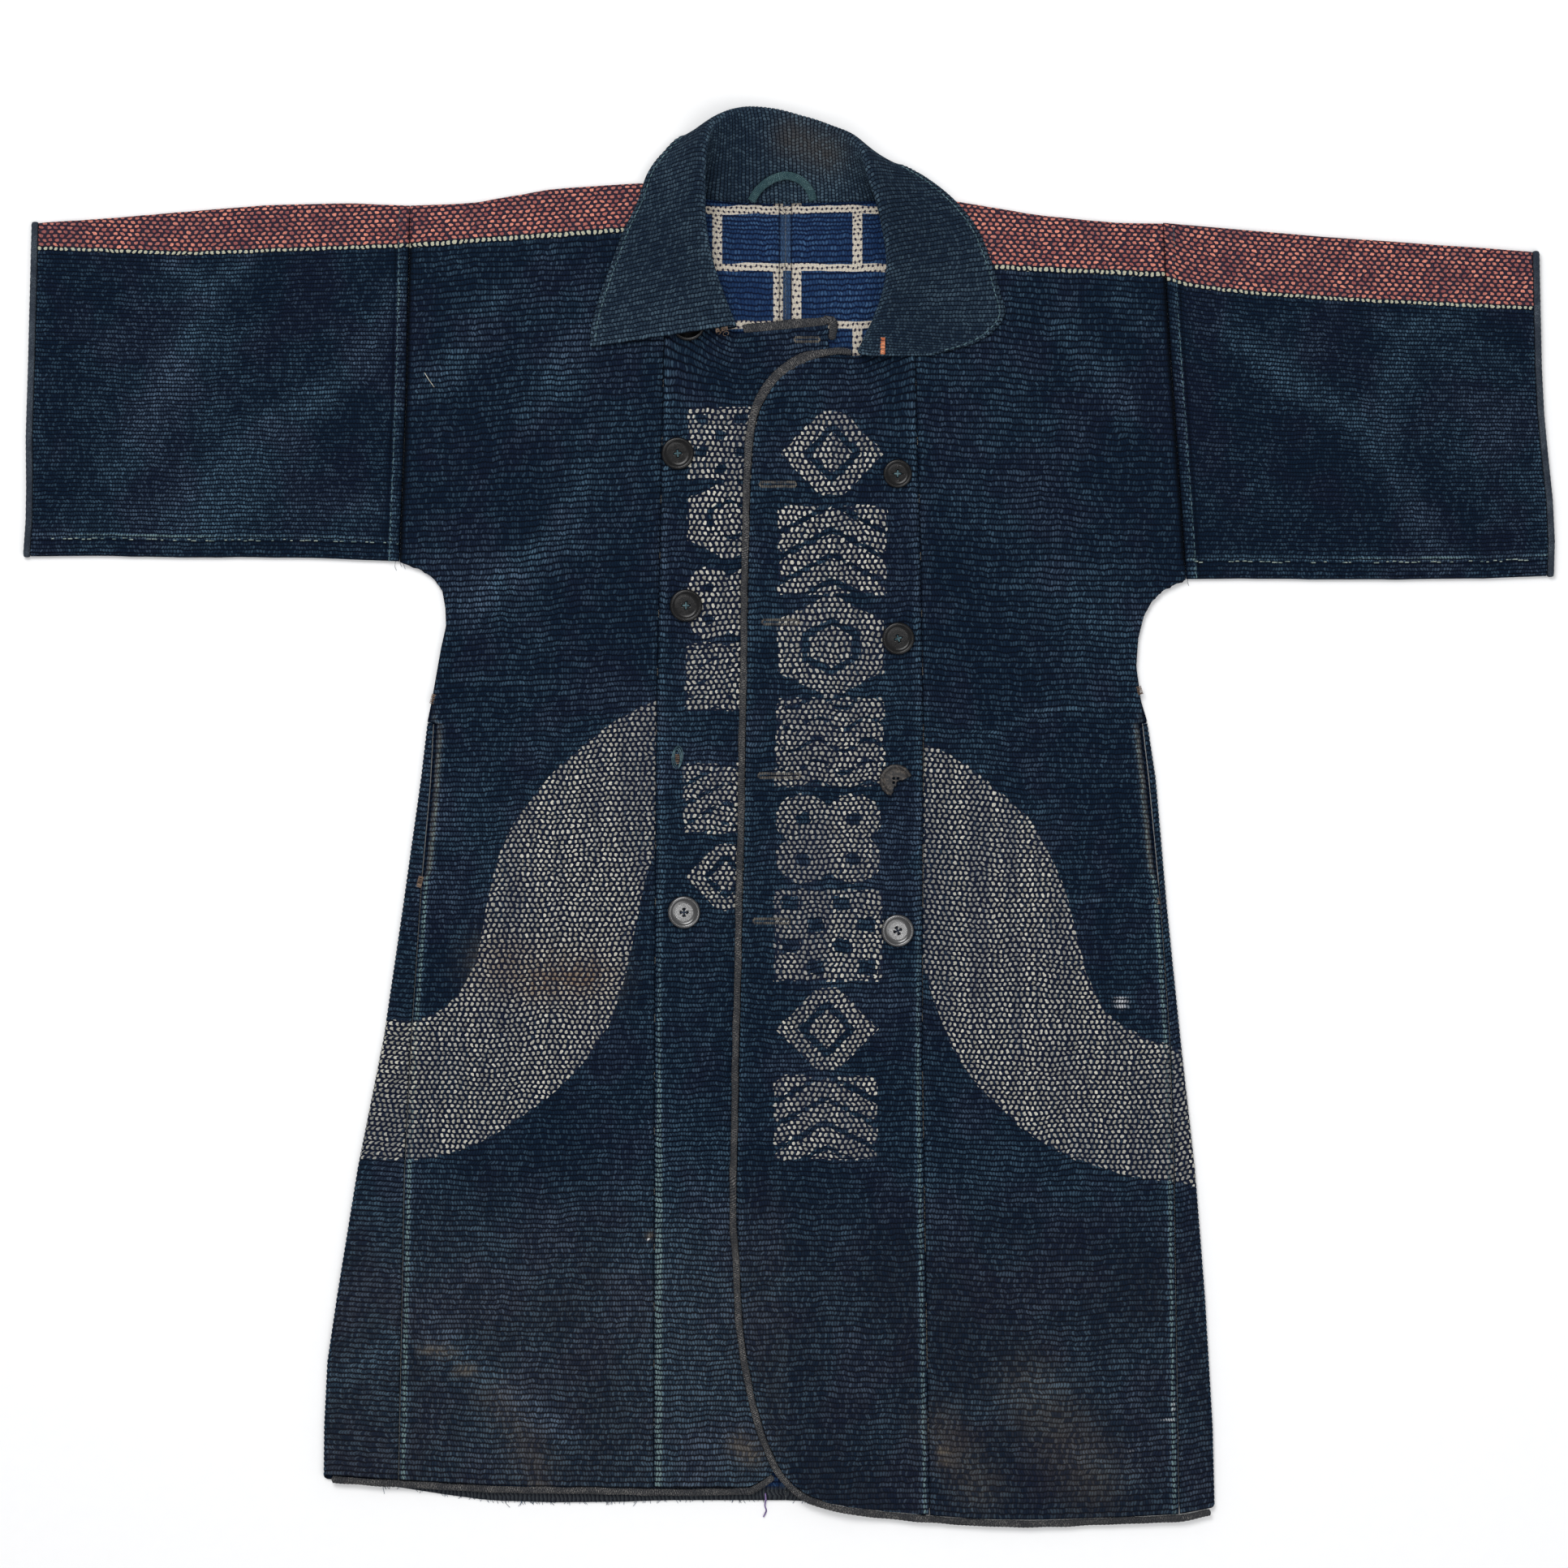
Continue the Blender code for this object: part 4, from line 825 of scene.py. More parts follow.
def motif_checks(x, y):
    """A block of checks."""
    column = np.floor((x + 36) / 18)
    row = np.floor((y + 34) / 17)
    inside = np.minimum(36 - np.abs(x), 34 - np.abs(y))
    edge_x = 9 - np.abs((x + 36) % 18 - 9)
    edge_y = 8.5 - np.abs((y + 34) % 17 - 8.5)
    edge = np.minimum(edge_x, edge_y) + 1.2
    filled = (column + row) % 2 < 0.5
    return np.minimum(np.where(filled, edge, 2.4 - edge), inside)


def motif_waves(x, y):
    """Three waves under a bar."""
    lift = 5.0 * np.sin(x / 36 * 2 * math.pi)
    wave = np.abs((y + lift + 36) % 17.0 - 8.5)
    return np.minimum(np.minimum(5.4 - wave, 36 - np.abs(x)), 33 - np.abs(y))


def motif_rings(x, y):
    """Four rings set close together."""
    near = np.hypot(np.abs(x) - 17.5, np.abs(y) - 16.0)
    ring = np.minimum(17.5 - near, near - 7.0)
    return np.maximum(ring, 7.0 - np.hypot(x, y))


MOTIFS = (motif_lozenges, motif_waves, motif_hexagon, motif_chevrons, motif_checks, motif_rings)
MOTIFS_LEFT = [
    (34, 288, 0, 1), (34, 212, 3, 1), (33, 136, 2, 1), (32, 60, 1, 1), (31, -16, 5, 1), (31, -92, 4, 1),
    (30, -166, 0, 0.98), (29, -236, 3, 0.95),
]
MOTIFS_RIGHT = [
    (-46, 296, 4, 0.78), (-47, 236, 2, 0.78), (-48, 170, 5, 0.78), (-49, 112, 1, 0.76), (-50, 16, 3, 0.78),
    (-50, -46, 0, 0.78),
]


Half = namedtuple(
    "Half",
    "side outward height gore_seam side_fold waist armhole shoulder front_hem back_hem stripe stripe_ribs"
    " band_seam band_neck band_edge motifs sleeve_top sleeve_low cuff_bow",
)
RIGHT = Half(
    "right", -1, front_height, GORE_SEAM_RIGHT, SIDE_FOLD_RIGHT, WAIST_RIGHT, ARMHOLE_RIGHT, SHOULDER_RIGHT,
    FRONT_HEM_RIGHT, BACK_HEM_RIGHT, STRIPE_RIGHT, STRIPE_RIBS_RIGHT, BAND_SEAM_RIGHT, BAND_NECK_RIGHT,
    BAND_EDGE_RIGHT, MOTIFS_RIGHT, SLEEVE_TOP_RIGHT, SLEEVE_LOW_RIGHT, CUFF_BOW_RIGHT,
)
LEFT = Half(
    "left", 1, left_band_height, GORE_SEAM_LEFT, SIDE_FOLD_LEFT, WAIST_LEFT, ARMHOLE_LEFT, SHOULDER_LEFT,
    FRONT_HEM_LEFT, BACK_HEM_LEFT, STRIPE_LEFT, STRIPE_RIBS_LEFT, BAND_SEAM_LEFT, BAND_NECK_LEFT,
    BAND_EDGE_LEFT, MOTIFS_LEFT, SLEEVE_TOP_LEFT, SLEEVE_LOW_LEFT, CUFF_BOW_LEFT,
)
MOTIF_STRETCH = 1.13  # motifs are wider than they are high
MOTIF_BOLD = 1.7  # grown by this much on every side


def motif_pattern(places, x, y):
    """Distance into a column of woven motifs, negative outside."""
    inside = np.full(x.shape, OUTSIDE)
    for centre_x, centre_y, kind, size in places:
        motif = MOTIFS[kind]((x - centre_x) / (size * MOTIF_STRETCH), (y - centre_y) / size)
        inside = np.maximum(inside, motif * size + MOTIF_BOLD)
    return inside


def band_cloth(name, half):
    """A front band. Its ribs run level, and its edge and hem are cut across them."""
    inward, seam, neck, free_edge = -half.outward, half.band_seam, half.band_neck, half.band_edge
    edge_y = [point.y for point in reversed(free_edge)]
    edge_x = [point.x for point in reversed(free_edge)]
    corner = free_edge[-1]
    seam_hem = Point(seam[0].x, line_y(half.front_hem, seam[0].x))
    low_y = min(corner.y, seam_hem.y)
    if seam_hem.y < corner.y:
        edge_y = [seam_hem.y] + edge_y
        edge_x = [seam_hem.x] + edge_x
    neck_y = free_edge[0].y
    first, last = rib_at(low_y + 0.6), rib_at(neck_y)
    counts = np.arange(0, last - first, 1 / RIB_STEPS)
    counts = np.append(counts, last - first)
    y_row = y_of_rib(first + counts)[:, None]
    shares = across(BAND_WIDE, EDGE_STEPS, BAND_STEP)[None, :]
    x_seam = read(seam, y_row) + inward * SEAM
    x_edge = np.interp(y_row, edge_y, edge_x)
    x = mix(x_seam, x_edge, shares)
    dip = (line_y(neck, x) - neck_y) * ease((y_row - (neck_y - 70)) / 70)
    sag = 0.8 * wander(x, y_row) * ease((y_row - low_y) / 40) * ease((neck_y - y_row) / 40)
    y = y_row + dip + sag
    rib = counts[:, None] + np.zeros(x.shape)
    from_seam = np.abs(x - x_seam)
    from_edge = np.abs(x - x_edge)
    z = half.height(x, y) + seam_roll(from_seam, 1.1) - rib_sink(rib)
    cloth = Cloth(x, y, z, from_seam, rib)
    ridge = mix(1.35, 0.6, ease((y + 350) / 400))
    low_share = ease((-200 - y) / 80)
    cloth.worn = 0.08 + (0.28 if inward > 0 else -0.14) * low_share
    cloth.worn += ridge * bell(from_seam - 3.4, 2.4)
    cloth.worn += 0.35 * bell(from_edge, 5.0)
    wear_of(cloth, np.ones(x.shape, bool))
    cloth.cream = motif_pattern(half.motifs, x, y)
    if inward < 0:
        cloth.change(np.fliplr)
    return make_cloth(name, cloth, indigo, lining)


def curve_point(points, share):
    """A point between the second and the third of four points, on a curve through them."""
    p0, p1, p2, p3 = points
    curve = 2 * p1 + (p2 - p0) * share + (2 * p0 - 5 * p1 + 4 * p2 - p3) * share**2
    return (curve + (3 * p1 - p0 - 3 * p2 + p3) * share**3) / 2


def smooth_rows(table, steps):
    """A table's columns read at even steps by a curve through its rows."""
    table = np.array(table, float)
    roll, edge = (np.linalg.norm(np.diff(table[:, k : k + 3], axis=0), axis=1) for k in (3, 6))
    reach = np.concatenate([[0], np.cumsum(roll)]) + np.concatenate([[0], np.cumsum(edge)])
    ends = np.vstack([2 * table[0] - table[1], table, 2 * table[-1] - table[-2]])
    result = []
    for place in np.linspace(0, reach[-1], steps):
        number = min(int(np.searchsorted(reach, place, side="right")) - 1, len(reach) - 2)
        share = (place - reach[number]) / (reach[number + 1] - reach[number])
        result.append(curve_point(ends[number : number + 4], share))
    return result


def bezier(points, share):
    """A cubic curve through its four points."""
    a, b, c, d = points
    left = 1 - share
    return a * left**3 + b * 3 * share * left**2 + c * 3 * share**2 * left + d * share**3


def collar_line(row, steps):
    """Middle of the collar's wall from the neck seam, up the stand, round the roll and out to the edge."""
    seam, roll, edge = Vector(row[0:3]), Vector(row[3:6]), Vector(row[6:9])
    turn = ((edge - roll).normalized() - (seam - roll).normalized()).normalized() * ROLL_HANDLE
    stand_way = Vector((roll.x - seam.x, roll.y - seam.y, 0)) * STAND_REACH
    leaf_way = Vector((roll.x - edge.x, roll.y - edge.y, 0)) * LEAF_REACH
    stand = [seam, seam + stand_way, roll - turn, roll]
    leaf = [roll, roll + turn, edge + leaf_way, edge]
    half = steps // 2
    line = [bezier(stand, k / half) for k in range(half)]
    return line + [bezier(leaf, k / half) for k in range(half + 1)]


def collar_cloth(name):
    """The collar: a stand that rises from the neck and a leaf that falls outside it."""
    rows = smooth_rows(COLLAR, COLLAR_RIBS * RIB_STEPS + 1)
    points = np.array([[tuple(point) for point in collar_line(row, COLLAR_STEPS)] for row in rows])
    way_out = np.gradient(points, axis=1)
    way_along = np.gradient(points, axis=0)
    normal = np.cross(way_along, way_out)
    normal = normal / np.maximum(np.linalg.norm(normal, axis=2, keepdims=True), 1e-6)
    count = np.arange(len(rows)) / RIB_STEPS
    rib = count[:, None] + np.zeros(points.shape[:2])
    along = np.cumsum(np.linalg.norm(np.diff(points, axis=1, prepend=points[:, :1]), axis=2), axis=1)
    from_edge = along[:, -1:] - along
    ripple = 0.35 * sway(points[:, :, 0], points[:, :, 1], 47.0) * ease(from_edge / 10) * ease(along / 10)
    stitch = -0.55 * bell(from_edge - 5.0, 1.4)
    lift = ripple + stitch - rib_sink(rib)
    points = points + normal * lift[:, :, None] * np.sign(normal[:, -3:-2, 2:3].mean())
    cloth = Cloth(points[:, :, 0], points[:, :, 1], points[:, :, 2], along, rib)
    place = np.linspace(0, 1, COLLAR_STEPS + 1)[None, :]
    ends = np.minimum(count, COLLAR_RIBS - count)[:, None]
    cloth.worn = 0.5 * bell(from_edge, 4.5) + 0.35 * bell(place - 0.5, 0.05)
    cloth.worn += 0.4 * bell(ends, 1.6)
    cloth.worn += 0.3 * ease((0.55 - place) / 0.15) * bell(cloth.x - 20, 60)
    cloth.soiled += strokes([COLLAR_STAIN], cloth.x, cloth.y) * (place < 0.5)
    cloth.change(np.transpose)
    return make_cloth(name, cloth, collar_material, collar_material, middle=True)


def smooth_path(points, step):
    """Points along a curve through these, about a step apart."""
    points = [Vector(point) for point in points]
    ends = [2 * points[0] - points[1]] + points + [2 * points[-1] - points[-2]]
    path = []
    for number in range(len(points) - 1):
        near = ends[number : number + 4]
        count = max(2, math.ceil((near[2] - near[1]).length / step))
        path += [curve_point(near, k / count) for k in range(count)]
    return path + [points[-1]]


def to_scene(points):
    return [(Vector(point) + Vector(TO_MIDDLE)) * MM for point in points]


def settled(piece, slot, *nodes):
    """The piece, with the solids that it stands for hidden, if any; its slot is not used."""
    for node in nodes:
        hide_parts(node)
    return piece


def threads(name, paths, radius, material, slot, sides=1):
    """Threads laid along paths, as one piece."""
    data = bpy.data.curves.new(name, "CURVE")
    data.dimensions = "3D"
    data.bevel_depth = radius * MM
    data.bevel_resolution = sides
    data.use_fill_caps = True
    for path in paths:
        spline = data.splines.new("POLY")
        spline.points.add(len(path) - 1)
        for target, point in zip(spline.points, to_scene(path)):
            target.co = (*point, 1)
    return settled(finish_piece(name, data, material), slot)


def binding(name, path, outside, height, widths, material):
    """A rolled tape along a cut edge, as a flattened roll. widths says how broad it is by length."""
    flat = smooth_path([(point.x, point.y, 0) for point in path], 1.1)
    middle = SEAM + BINDING / 2
    rows = []
    length = 0.0
    for number, point in enumerate(flat):
        length += (point - flat[max(number - 1, 0)]).length
        broad = float(np.interp(length, *zip(*widths)))
        way = (flat[min(number + 1, len(flat) - 1)] - flat[max(number - 1, 0)]).normalized()
        aside = Vector((-way.y, way.x, 0)) * outside
        swollen = 1 + 0.07 * math.sin(number * 2.1) + 0.05 * math.sin(number * 0.17 + 1)
        centre = point + aside * (middle + 0.25 * math.sin(number * 0.061) + 0.15 * math.sin(number * 0.23))
        centre.z = float(height(point.x, point.y)) - BINDING_DROP
        swell = 1.0 if 0 < number < len(flat) - 1 else 0.35
        row = []
        for turn in np.linspace(0, 2 * math.pi, TAPE_SIDES + 1):
            out = math.cos(turn) * BINDING / 2 * swell * swollen * broad
            up = math.sin(turn) * BINDING_RISE * swell
            row.append(centre + aside * out + Vector((0, 0, up)))
        rows.append(row if outside < 0 else row[::-1])
    return ring_piece(name, rows, material, TAPE_STEP, TAPE_SIDES + 1)


def ring_piece(name, rows, material, step, around):
    """A closed skin through rings of points. Its weave counts step by step along, and around each ring."""
    mesh = bmesh.new()
    columns = len(rows[0])
    bmesh.ops.create_grid(mesh, x_segments=columns - 1, y_segments=len(rows) - 1, size=0.5)
    mesh.verts.ensure_lookup_table()
    weave = mesh.loops.layers.uv.new("Weave")
    for face in mesh.faces:
        face.smooth = True
        for loop in face.loops:
            number = loop.vert.index
            loop[weave].uv = (number // columns * step * MM, number % columns / around * 0.01)
    flat = to_scene([point for row in rows for point in row])
    for vertex in mesh.verts:
        vertex.co = flat[vertex.index]
        vertex.co.z = max(vertex.co.z, 0.0)
    bmesh.ops.remove_doubles(mesh, verts=mesh.verts, dist=0.01 * MM)
    bmesh.ops.holes_fill(mesh, edges=mesh.edges, sides=0)
    bmesh.ops.recalc_face_normals(mesh, faces=mesh.faces)
    return finish_piece(name, mesh_data(name, mesh), material)


def cuff_roll(name, half):
    """The tape that binds the cuff, rolled over the sleeve's open end all the way round."""
    top_end, low_end = half.sleeve_top[-1], half.sleeve_low[-1]
    top, low = top_end.y - FOLD, low_end.y + FOLD
    radius = FOLD - 0.3
    ring = []
    for share in np.linspace(0, 1, 180):
        y = mix(low, top, share)
        x = mix(low_end.x, top_end.x, share) + float(cuff_bow(half, share))
        ring.append((x, y, float(front_height(x, y)) - 0.8))
    for turn in np.linspace(0, 1, 8)[1:-1]:
        angle = math.pi * turn
        ring.append((top_end.x, top + radius * math.sin(angle), FOLD + radius * math.cos(angle)))
    for share in np.linspace(1, 0, 100):
        x = mix(low_end.x, top_end.x, share) + float(cuff_bow(half, share))
        ring.append((x, mix(low, top, share), 1.4))
    for turn in np.linspace(0, 1, 8)[1:-1]:
        angle = math.pi * turn
        ring.append((low_end.x, low - radius * math.sin(angle), FOLD - radius * math.cos(angle)))
    rows = []
    for number, (x, y, z) in enumerate(ring + ring[:1]):
        swollen = 1 + 0.05 * math.sin(number % len(ring) * 1.9)
        thick = 1.4 if z > 0.9 * STACK or z < 2 else 1.2
        if low <= y <= top:
            normal = Vector((0, 0, 1 if z > FOLD else -1))
        else:
            normal = Vector((0, y - (top if y > top else low), z - FOLD)).normalized()
        row = []
        for turn in np.linspace(0, 2 * math.pi, CUFF_SIDES + 1):
            out = SEAM + BINDING / 2 + math.cos(turn) * (BINDING / 2 - 0.1) * swollen
            row.append(Vector((x + half.outward * out, y, z)) + normal * math.sin(turn) * thick)
        rows.append(row)
    return ring_piece(name, rows, cuff_tape, CUFF_STEP, CUFF_SIDES)


def stitch_row(path, step, length, lift):
    """Stitches along a path: short threads that rise out of the cloth and go back in."""
    places = smooth_path(path, 1.0)
    stitches = []
    number = 0
    per_stitch = max(2, round(step))
    while number + per_stitch < len(places):
        start = places[number]
        end = start + (places[number + per_stitch] - start).normalized() * length
        middle = (start + end) / 2 + Vector((0, 0, lift))
        stitches.append([start - Vector((0, 0, 0.2)), middle, end - Vector((0, 0, 0.2))])
        number += per_stitch
    return stitches


def front_path(points, lift):
    """Points over the front's outer face."""
    return [(x, y, float(front_height(x, y)) + lift) for x, y in points]


def buttonhole(x, y, length, height):
    """Threads round a slit: close stitches across its lips and a bar at each end."""
    paths = []
    count = int(length / 1.15)
    for side in (-1, 1):
        for k in range(count):
            place = x - length / 2 + length * (k + 0.5) / count
            z = float(height(place, y)) + 0.25
            inner, outer = (place, y + side * 0.7, z - 0.5), (place, y + side * 2.6, z - 0.45)
            paths.append([inner, (place, y + side * 1.5, z + 0.1), outer])
    for side in (-1, 1):
        place = x + side * length / 2
        z = float(height(place, y)) + 0.25
        for k in range(-2, 3):
            foot_x, foot_y = place - side * abs(k) * 0.25, y + k * 0.55
            bar_top = (place + side * 0.9, y + k * 0.5, z)
            paths.append([(foot_x, foot_y - 0.4, z - 0.4), bar_top, (foot_x, foot_y + 0.4, z - 0.4)])
    return paths


def bartack(x, y, length, width, angle, height):
    """A short bar of close stitches."""
    paths = []
    way = Vector((math.cos(angle), math.sin(angle), 0))
    side = Vector((-way.y, way.x, 0))
    count = max(4, int(length / 0.8))
    for k in range(count):
        centre = Vector((x, y, 0)) + way * length * (k / (count - 1) - 0.5)
        centre.z = float(height(centre.x, centre.y)) + 0.3
        lean = way * 0.3 * math.sin(k * 1.7)
        drop = Vector((0, 0, 0.5))
        paths.append([centre - side * width / 2 - drop, centre + lean, centre + side * width / 2 - drop])
    return paths


def turned_button(width):
    """A turned button with a dished middle and a raised rim, standing on Z 0."""
    radius = width / 2
    mesh = bmesh.new()
    line = [mesh.verts.new((max(share * radius, 0.001) * MM, 0, z * MM)) for share, z in BUTTON_OUTLINE]
    edges = [mesh.edges.new(pair) for pair in zip(line, line[1:])]
    bmesh.ops.spin(
        mesh, geom=line + edges, cent=(0, 0, 0), axis=(0, 0, 1), angle=2 * math.pi, steps=56, use_merge=True
    )
    bmesh.ops.remove_doubles(mesh, verts=mesh.verts, dist=0.01 * MM)
    bmesh.ops.recalc_face_normals(mesh, faces=mesh.faces)
    for face in mesh.faces:
        face.smooth = True
    return mesh_data("blank", mesh)


def drilled(data, cutters):
    """The mesh with the cutters taken out of it."""
    piece = placed("blank", data)
    tools = []
    for cutter in cutters:
        tool = placed("cutter", cutter)
        tools.append(tool)
        boolean = piece.modifiers.new("Cut", "BOOLEAN")
        boolean.operation = "DIFFERENCE"
        boolean.solver = "EXACT"
        boolean.object = tool
    graph = bpy.context.evaluated_depsgraph_get()
    cut = bpy.data.meshes.new_from_object(piece.evaluated_get(graph))
    for gone in [piece] + tools:
        bpy.data.objects.remove(gone, do_unlink=True)
    return cut


def four_holes():
    mesh = bmesh.new()
    for k in range(4):
        turn = math.pi / 4 + math.pi / 2 * k
        made = bmesh.ops.create_cone(
            mesh, cap_ends=True, segments=18, radius1=1.1 * MM, radius2=1.1 * MM, depth=12 * MM
        )
        place = Vector((math.cos(turn), math.sin(turn), 0)) * HOLE_OUT * MM
        bmesh.ops.translate(mesh, verts=made["verts"], vec=place)
    return mesh_data("holes", mesh)


def ragged_wedge(outline):
    """What is gone from a broken button."""
    mesh = bmesh.new()
    face = mesh.faces.new([mesh.verts.new(Vector((x, y, -5)) * MM) for x, y in outline])
    grown = bmesh.ops.extrude_face_region(mesh, geom=[face])
    moved = [item for item in grown["geom"] if isinstance(item, bmesh.types.BMVert)]
    bmesh.ops.translate(mesh, verts=moved, vec=Vector((0, 0, 12 * MM)))
    bmesh.ops.recalc_face_normals(mesh, faces=mesh.faces)
    return mesh_data("wedge", mesh)


def paint(red, green, blue):
    """A colour given as on a screen, from 0 to 255."""
    linear = []
    for value in (red, green, blue):
        share = value / 255
        linear.append(share / 12.92 if share <= 0.04045 else ((share + 0.055) / 1.055) ** 2.4)
    return (*linear, 1.0)


class Nodes:
    """Short words for adding shader nodes to a tree."""

    def __init__(self, tree):
        self.tree = tree

    def add(self, kind, **settings):
        node = self.tree.nodes.new(kind)
        for name, value in settings.items():
            setattr(node, name, value)
        return node

    def plug(self, socket, value):
        if isinstance(value, bpy.types.NodeSocket):
            self.tree.links.new(value, socket)
        elif value is not None:
            socket.default_value = value

    def math(self, operation, first, second=None, third=None, clamp=False):
        node = self.add("ShaderNodeMath", operation=operation, use_clamp=clamp)
        for socket, value in zip(node.inputs, (first, second, third)):
            self.plug(socket, value)
        return node.outputs[0]

    plus = partialmethod(math, "ADD")
    minus = partialmethod(math, "SUBTRACT")
    times = partialmethod(math, "MULTIPLY")
    over = partialmethod(math, "DIVIDE")
    scaled = partialmethod(math, "MULTIPLY_ADD")
    power = partialmethod(math, "POWER")
    magnitude = partialmethod(math, "ABSOLUTE")
    floor = partialmethod(math, "FLOOR")
    fract = partialmethod(math, "FRACT")

    def from_middle(self, count):
        """How far a count is from the middle of its whole number, 0 to 1."""
        return self.magnitude(self.scaled(self.fract(count), 2.0, -1.0))

    def blend(self, share, first, second):
        node = self.add("ShaderNodeMix", data_type="RGBA", clamp_factor=True)
        self.plug(node.inputs[0], share)
        self.plug(node.inputs[6], first)
        self.plug(node.inputs[7], second)
        return node.outputs[2]

    def between(self, value, low, high, start=0.0, end=1.0):
        node = self.add("ShaderNodeMapRange", interpolation_type="SMOOTHSTEP")
        for socket, number in zip(node.inputs, (value, low, high, start, end)):
            self.plug(socket, number)
        return node.outputs[0]

    def noise(self, vector, scale, detail=3.0, rough=0.55):
        node = self.add("ShaderNodeTexNoise")
        self.plug(node.inputs["Vector"], vector)
        node.inputs["Scale"].default_value = scale
        node.inputs["Detail"].default_value = detail
        node.inputs["Roughness"].default_value = rough
        return node.outputs["Fac"]

    def pair(self, x, y):
        node = self.add("ShaderNodeCombineXYZ")
        self.plug(node.inputs[0], x)
        self.plug(node.inputs[1], y)
        return node.outputs[0]

    def chance(self, x, y):
        node = self.add("ShaderNodeTexWhiteNoise", noise_dimensions="2D")
        self.plug(node.inputs["Vector"], self.pair(x, y))
        return node.outputs["Value"]

    def field(self, name):
        return self.add("ShaderNodeAttribute", attribute_name=name).outputs["Fac"]

    def group(self, tree, **values):
        node = self.add("ShaderNodeGroup", node_tree=tree)
        for name, value in values.items():
            self.plug(node.inputs[name.replace("_", " ")], value)
        return node.outputs


def new_group(name, takes, gives):
    """An empty group with named sockets: its tree, words for its nodes, its inputs and its outputs."""
    tree = bpy.data.node_groups.new(name, "ShaderNodeTree")
    for title, kind in takes:
        tree.interface.new_socket(title, in_out="INPUT", socket_type=kind)
    for title, kind in gives:
        tree.interface.new_socket(title, in_out="OUTPUT", socket_type=kind)
    nodes = Nodes(tree)
    return tree, nodes, nodes.add("NodeGroupInput").outputs, nodes.add("NodeGroupOutput").inputs


VALUE = "NodeSocketFloat"
COLOUR = "NodeSocketColor"


def ribbed_weave():
    """Raised ribs of beads: how high the thread stands, and chances for each bead and each rib."""
    tree, n, taken, given = new_group(
        "ribbed weave",
        [(title, VALUE) for title in ("Along", "Rib", "Bead")],
        [(title, VALUE) for title in ("Height", "Chance", "Rib chance")],
    )
    row = n.floor(taken["Rib"])
    row_chance = n.chance(row, 3.7)
    across_rib = n.from_middle(taken["Rib"])
    crest = n.minus(1.0, n.power(across_rib, 2.6), clamp=True)
    shift = n.scaled(row_chance, 0.35, n.times(n.math("MODULO", row, 2.0), 0.5))
    place = n.plus(n.over(taken["Along"], taken["Bead"]), shift)
    in_bead = n.from_middle(place)
    bead = n.minus(1.0, n.power(in_bead, 3.0), clamp=True)
    n.plug(given["Height"], n.times(crest, n.scaled(bead, 0.72, 0.28)))
    n.plug(given["Chance"], n.chance(n.floor(place), row))
    n.plug(given["Rib chance"], row_chance)
    return tree


def woven_dots():
    """Dots of another yarn in alternate rows, kept where Inside is over zero."""
    tree, n, taken, given = new_group(
        "woven dots",
        [(title, VALUE) for title in ("Along", "Rib", "Dot", "Wide", "High", "Inside")],
        [("Mask", VALUE), ("Chance", VALUE)],
    )
    row = n.floor(taken["Rib"])
    stagger = n.times(n.math("MODULO", row, 2.0), 0.5)
    place = n.plus(n.over(taken["Along"], taken["Dot"]), stagger)
    chance = n.chance(n.plus(n.floor(place), 11.3), row)
    wobble = n.scaled(chance, 0.24, -0.12)
    in_dot = n.magnitude(n.plus(n.scaled(n.fract(place), 2.0, -1.0), wobble))
    in_rib = n.from_middle(taken["Rib"])
    wide = n.power(n.over(in_dot, taken["Wide"]), 3.0)
    high = n.power(n.over(in_rib, taken["High"]), 3.0)
    dot = n.between(n.plus(wide, high), 1.25, 0.75)
    edge = n.plus(taken["Inside"], n.scaled(chance, 2.4, -1.2))
    inside = n.math("GREATER_THAN", edge, 0.0)
    n.plug(given["Mask"], n.times(dot, inside))
    n.plug(given["Chance"], chance)
    return tree


def faded_dye_and_shade():
    """Dyed thread: dark in the grooves, paler on the crests, uneven by beads and by wear, and darkened as
    painted shade where its wear input is below zero.
    """
    tree, n, taken, given = new_group(
        "faded dye and shade",
        [(title, COLOUR) for title in ("Groove", "Thread", "Tip")]
        + [(title, VALUE) for title in ("Height", "Chance", "Rib chance", "Rubbed")],
        [("Color", COLOUR)],
    )
    thread = n.blend(n.between(taken["Height"], 0.08, 0.75), taken["Groove"], taken["Thread"])
    lucky = n.between(taken["Chance"], 0.25, 1.0)
    uneven = n.plus(n.times(lucky, 0.34), n.times(taken["Rib chance"], 0.05))
    bright = n.times(taken["Rubbed"], n.scaled(taken["Chance"], 0.8, 0.4))
    wear_and_shade_level = n.plus(uneven, bright)
    tip = n.times(n.between(taken["Height"], 0.4, 0.95), wear_and_shade_level, clamp=True)
    worn_colour = n.blend(tip, thread, taken["Tip"])
    # Painted shade: a wear input well below zero darkens the colour to almost black.
    painted_shade = n.between(taken["Rubbed"], -0.2, -0.9, 0.0, 0.72)
    n.plug(given["Color"], n.blend(painted_shade, worn_colour, paint(3, 5, 9)))
    return tree


weave_group = ribbed_weave()
dots_group = woven_dots()
dye_and_shade_group = faded_dye_and_shade()


def dyed_and_shaded(n, weave, groove, thread, tip, wear_and_shade_level):
    """Colour of a weave in dye faded by wear, with painted shade where the wear input is below zero."""
    return n.group(
        dye_and_shade_group, Groove=groove, Thread=thread, Tip=tip, Height=weave["Height"], Chance=weave["Chance"],
        Rib_chance=weave["Rib chance"], Rubbed=wear_and_shade_level,
    )["Color"]


def overcast(n, along, rib, dark, pale):
    """Colour of slanting threads that whip a raw edge."""
    slant = n.fract(n.plus(n.times(along, 0.31), n.times(rib, 0.3)))
    return n.blend(n.between(slant, 0.1, 0.9), dark, pale)


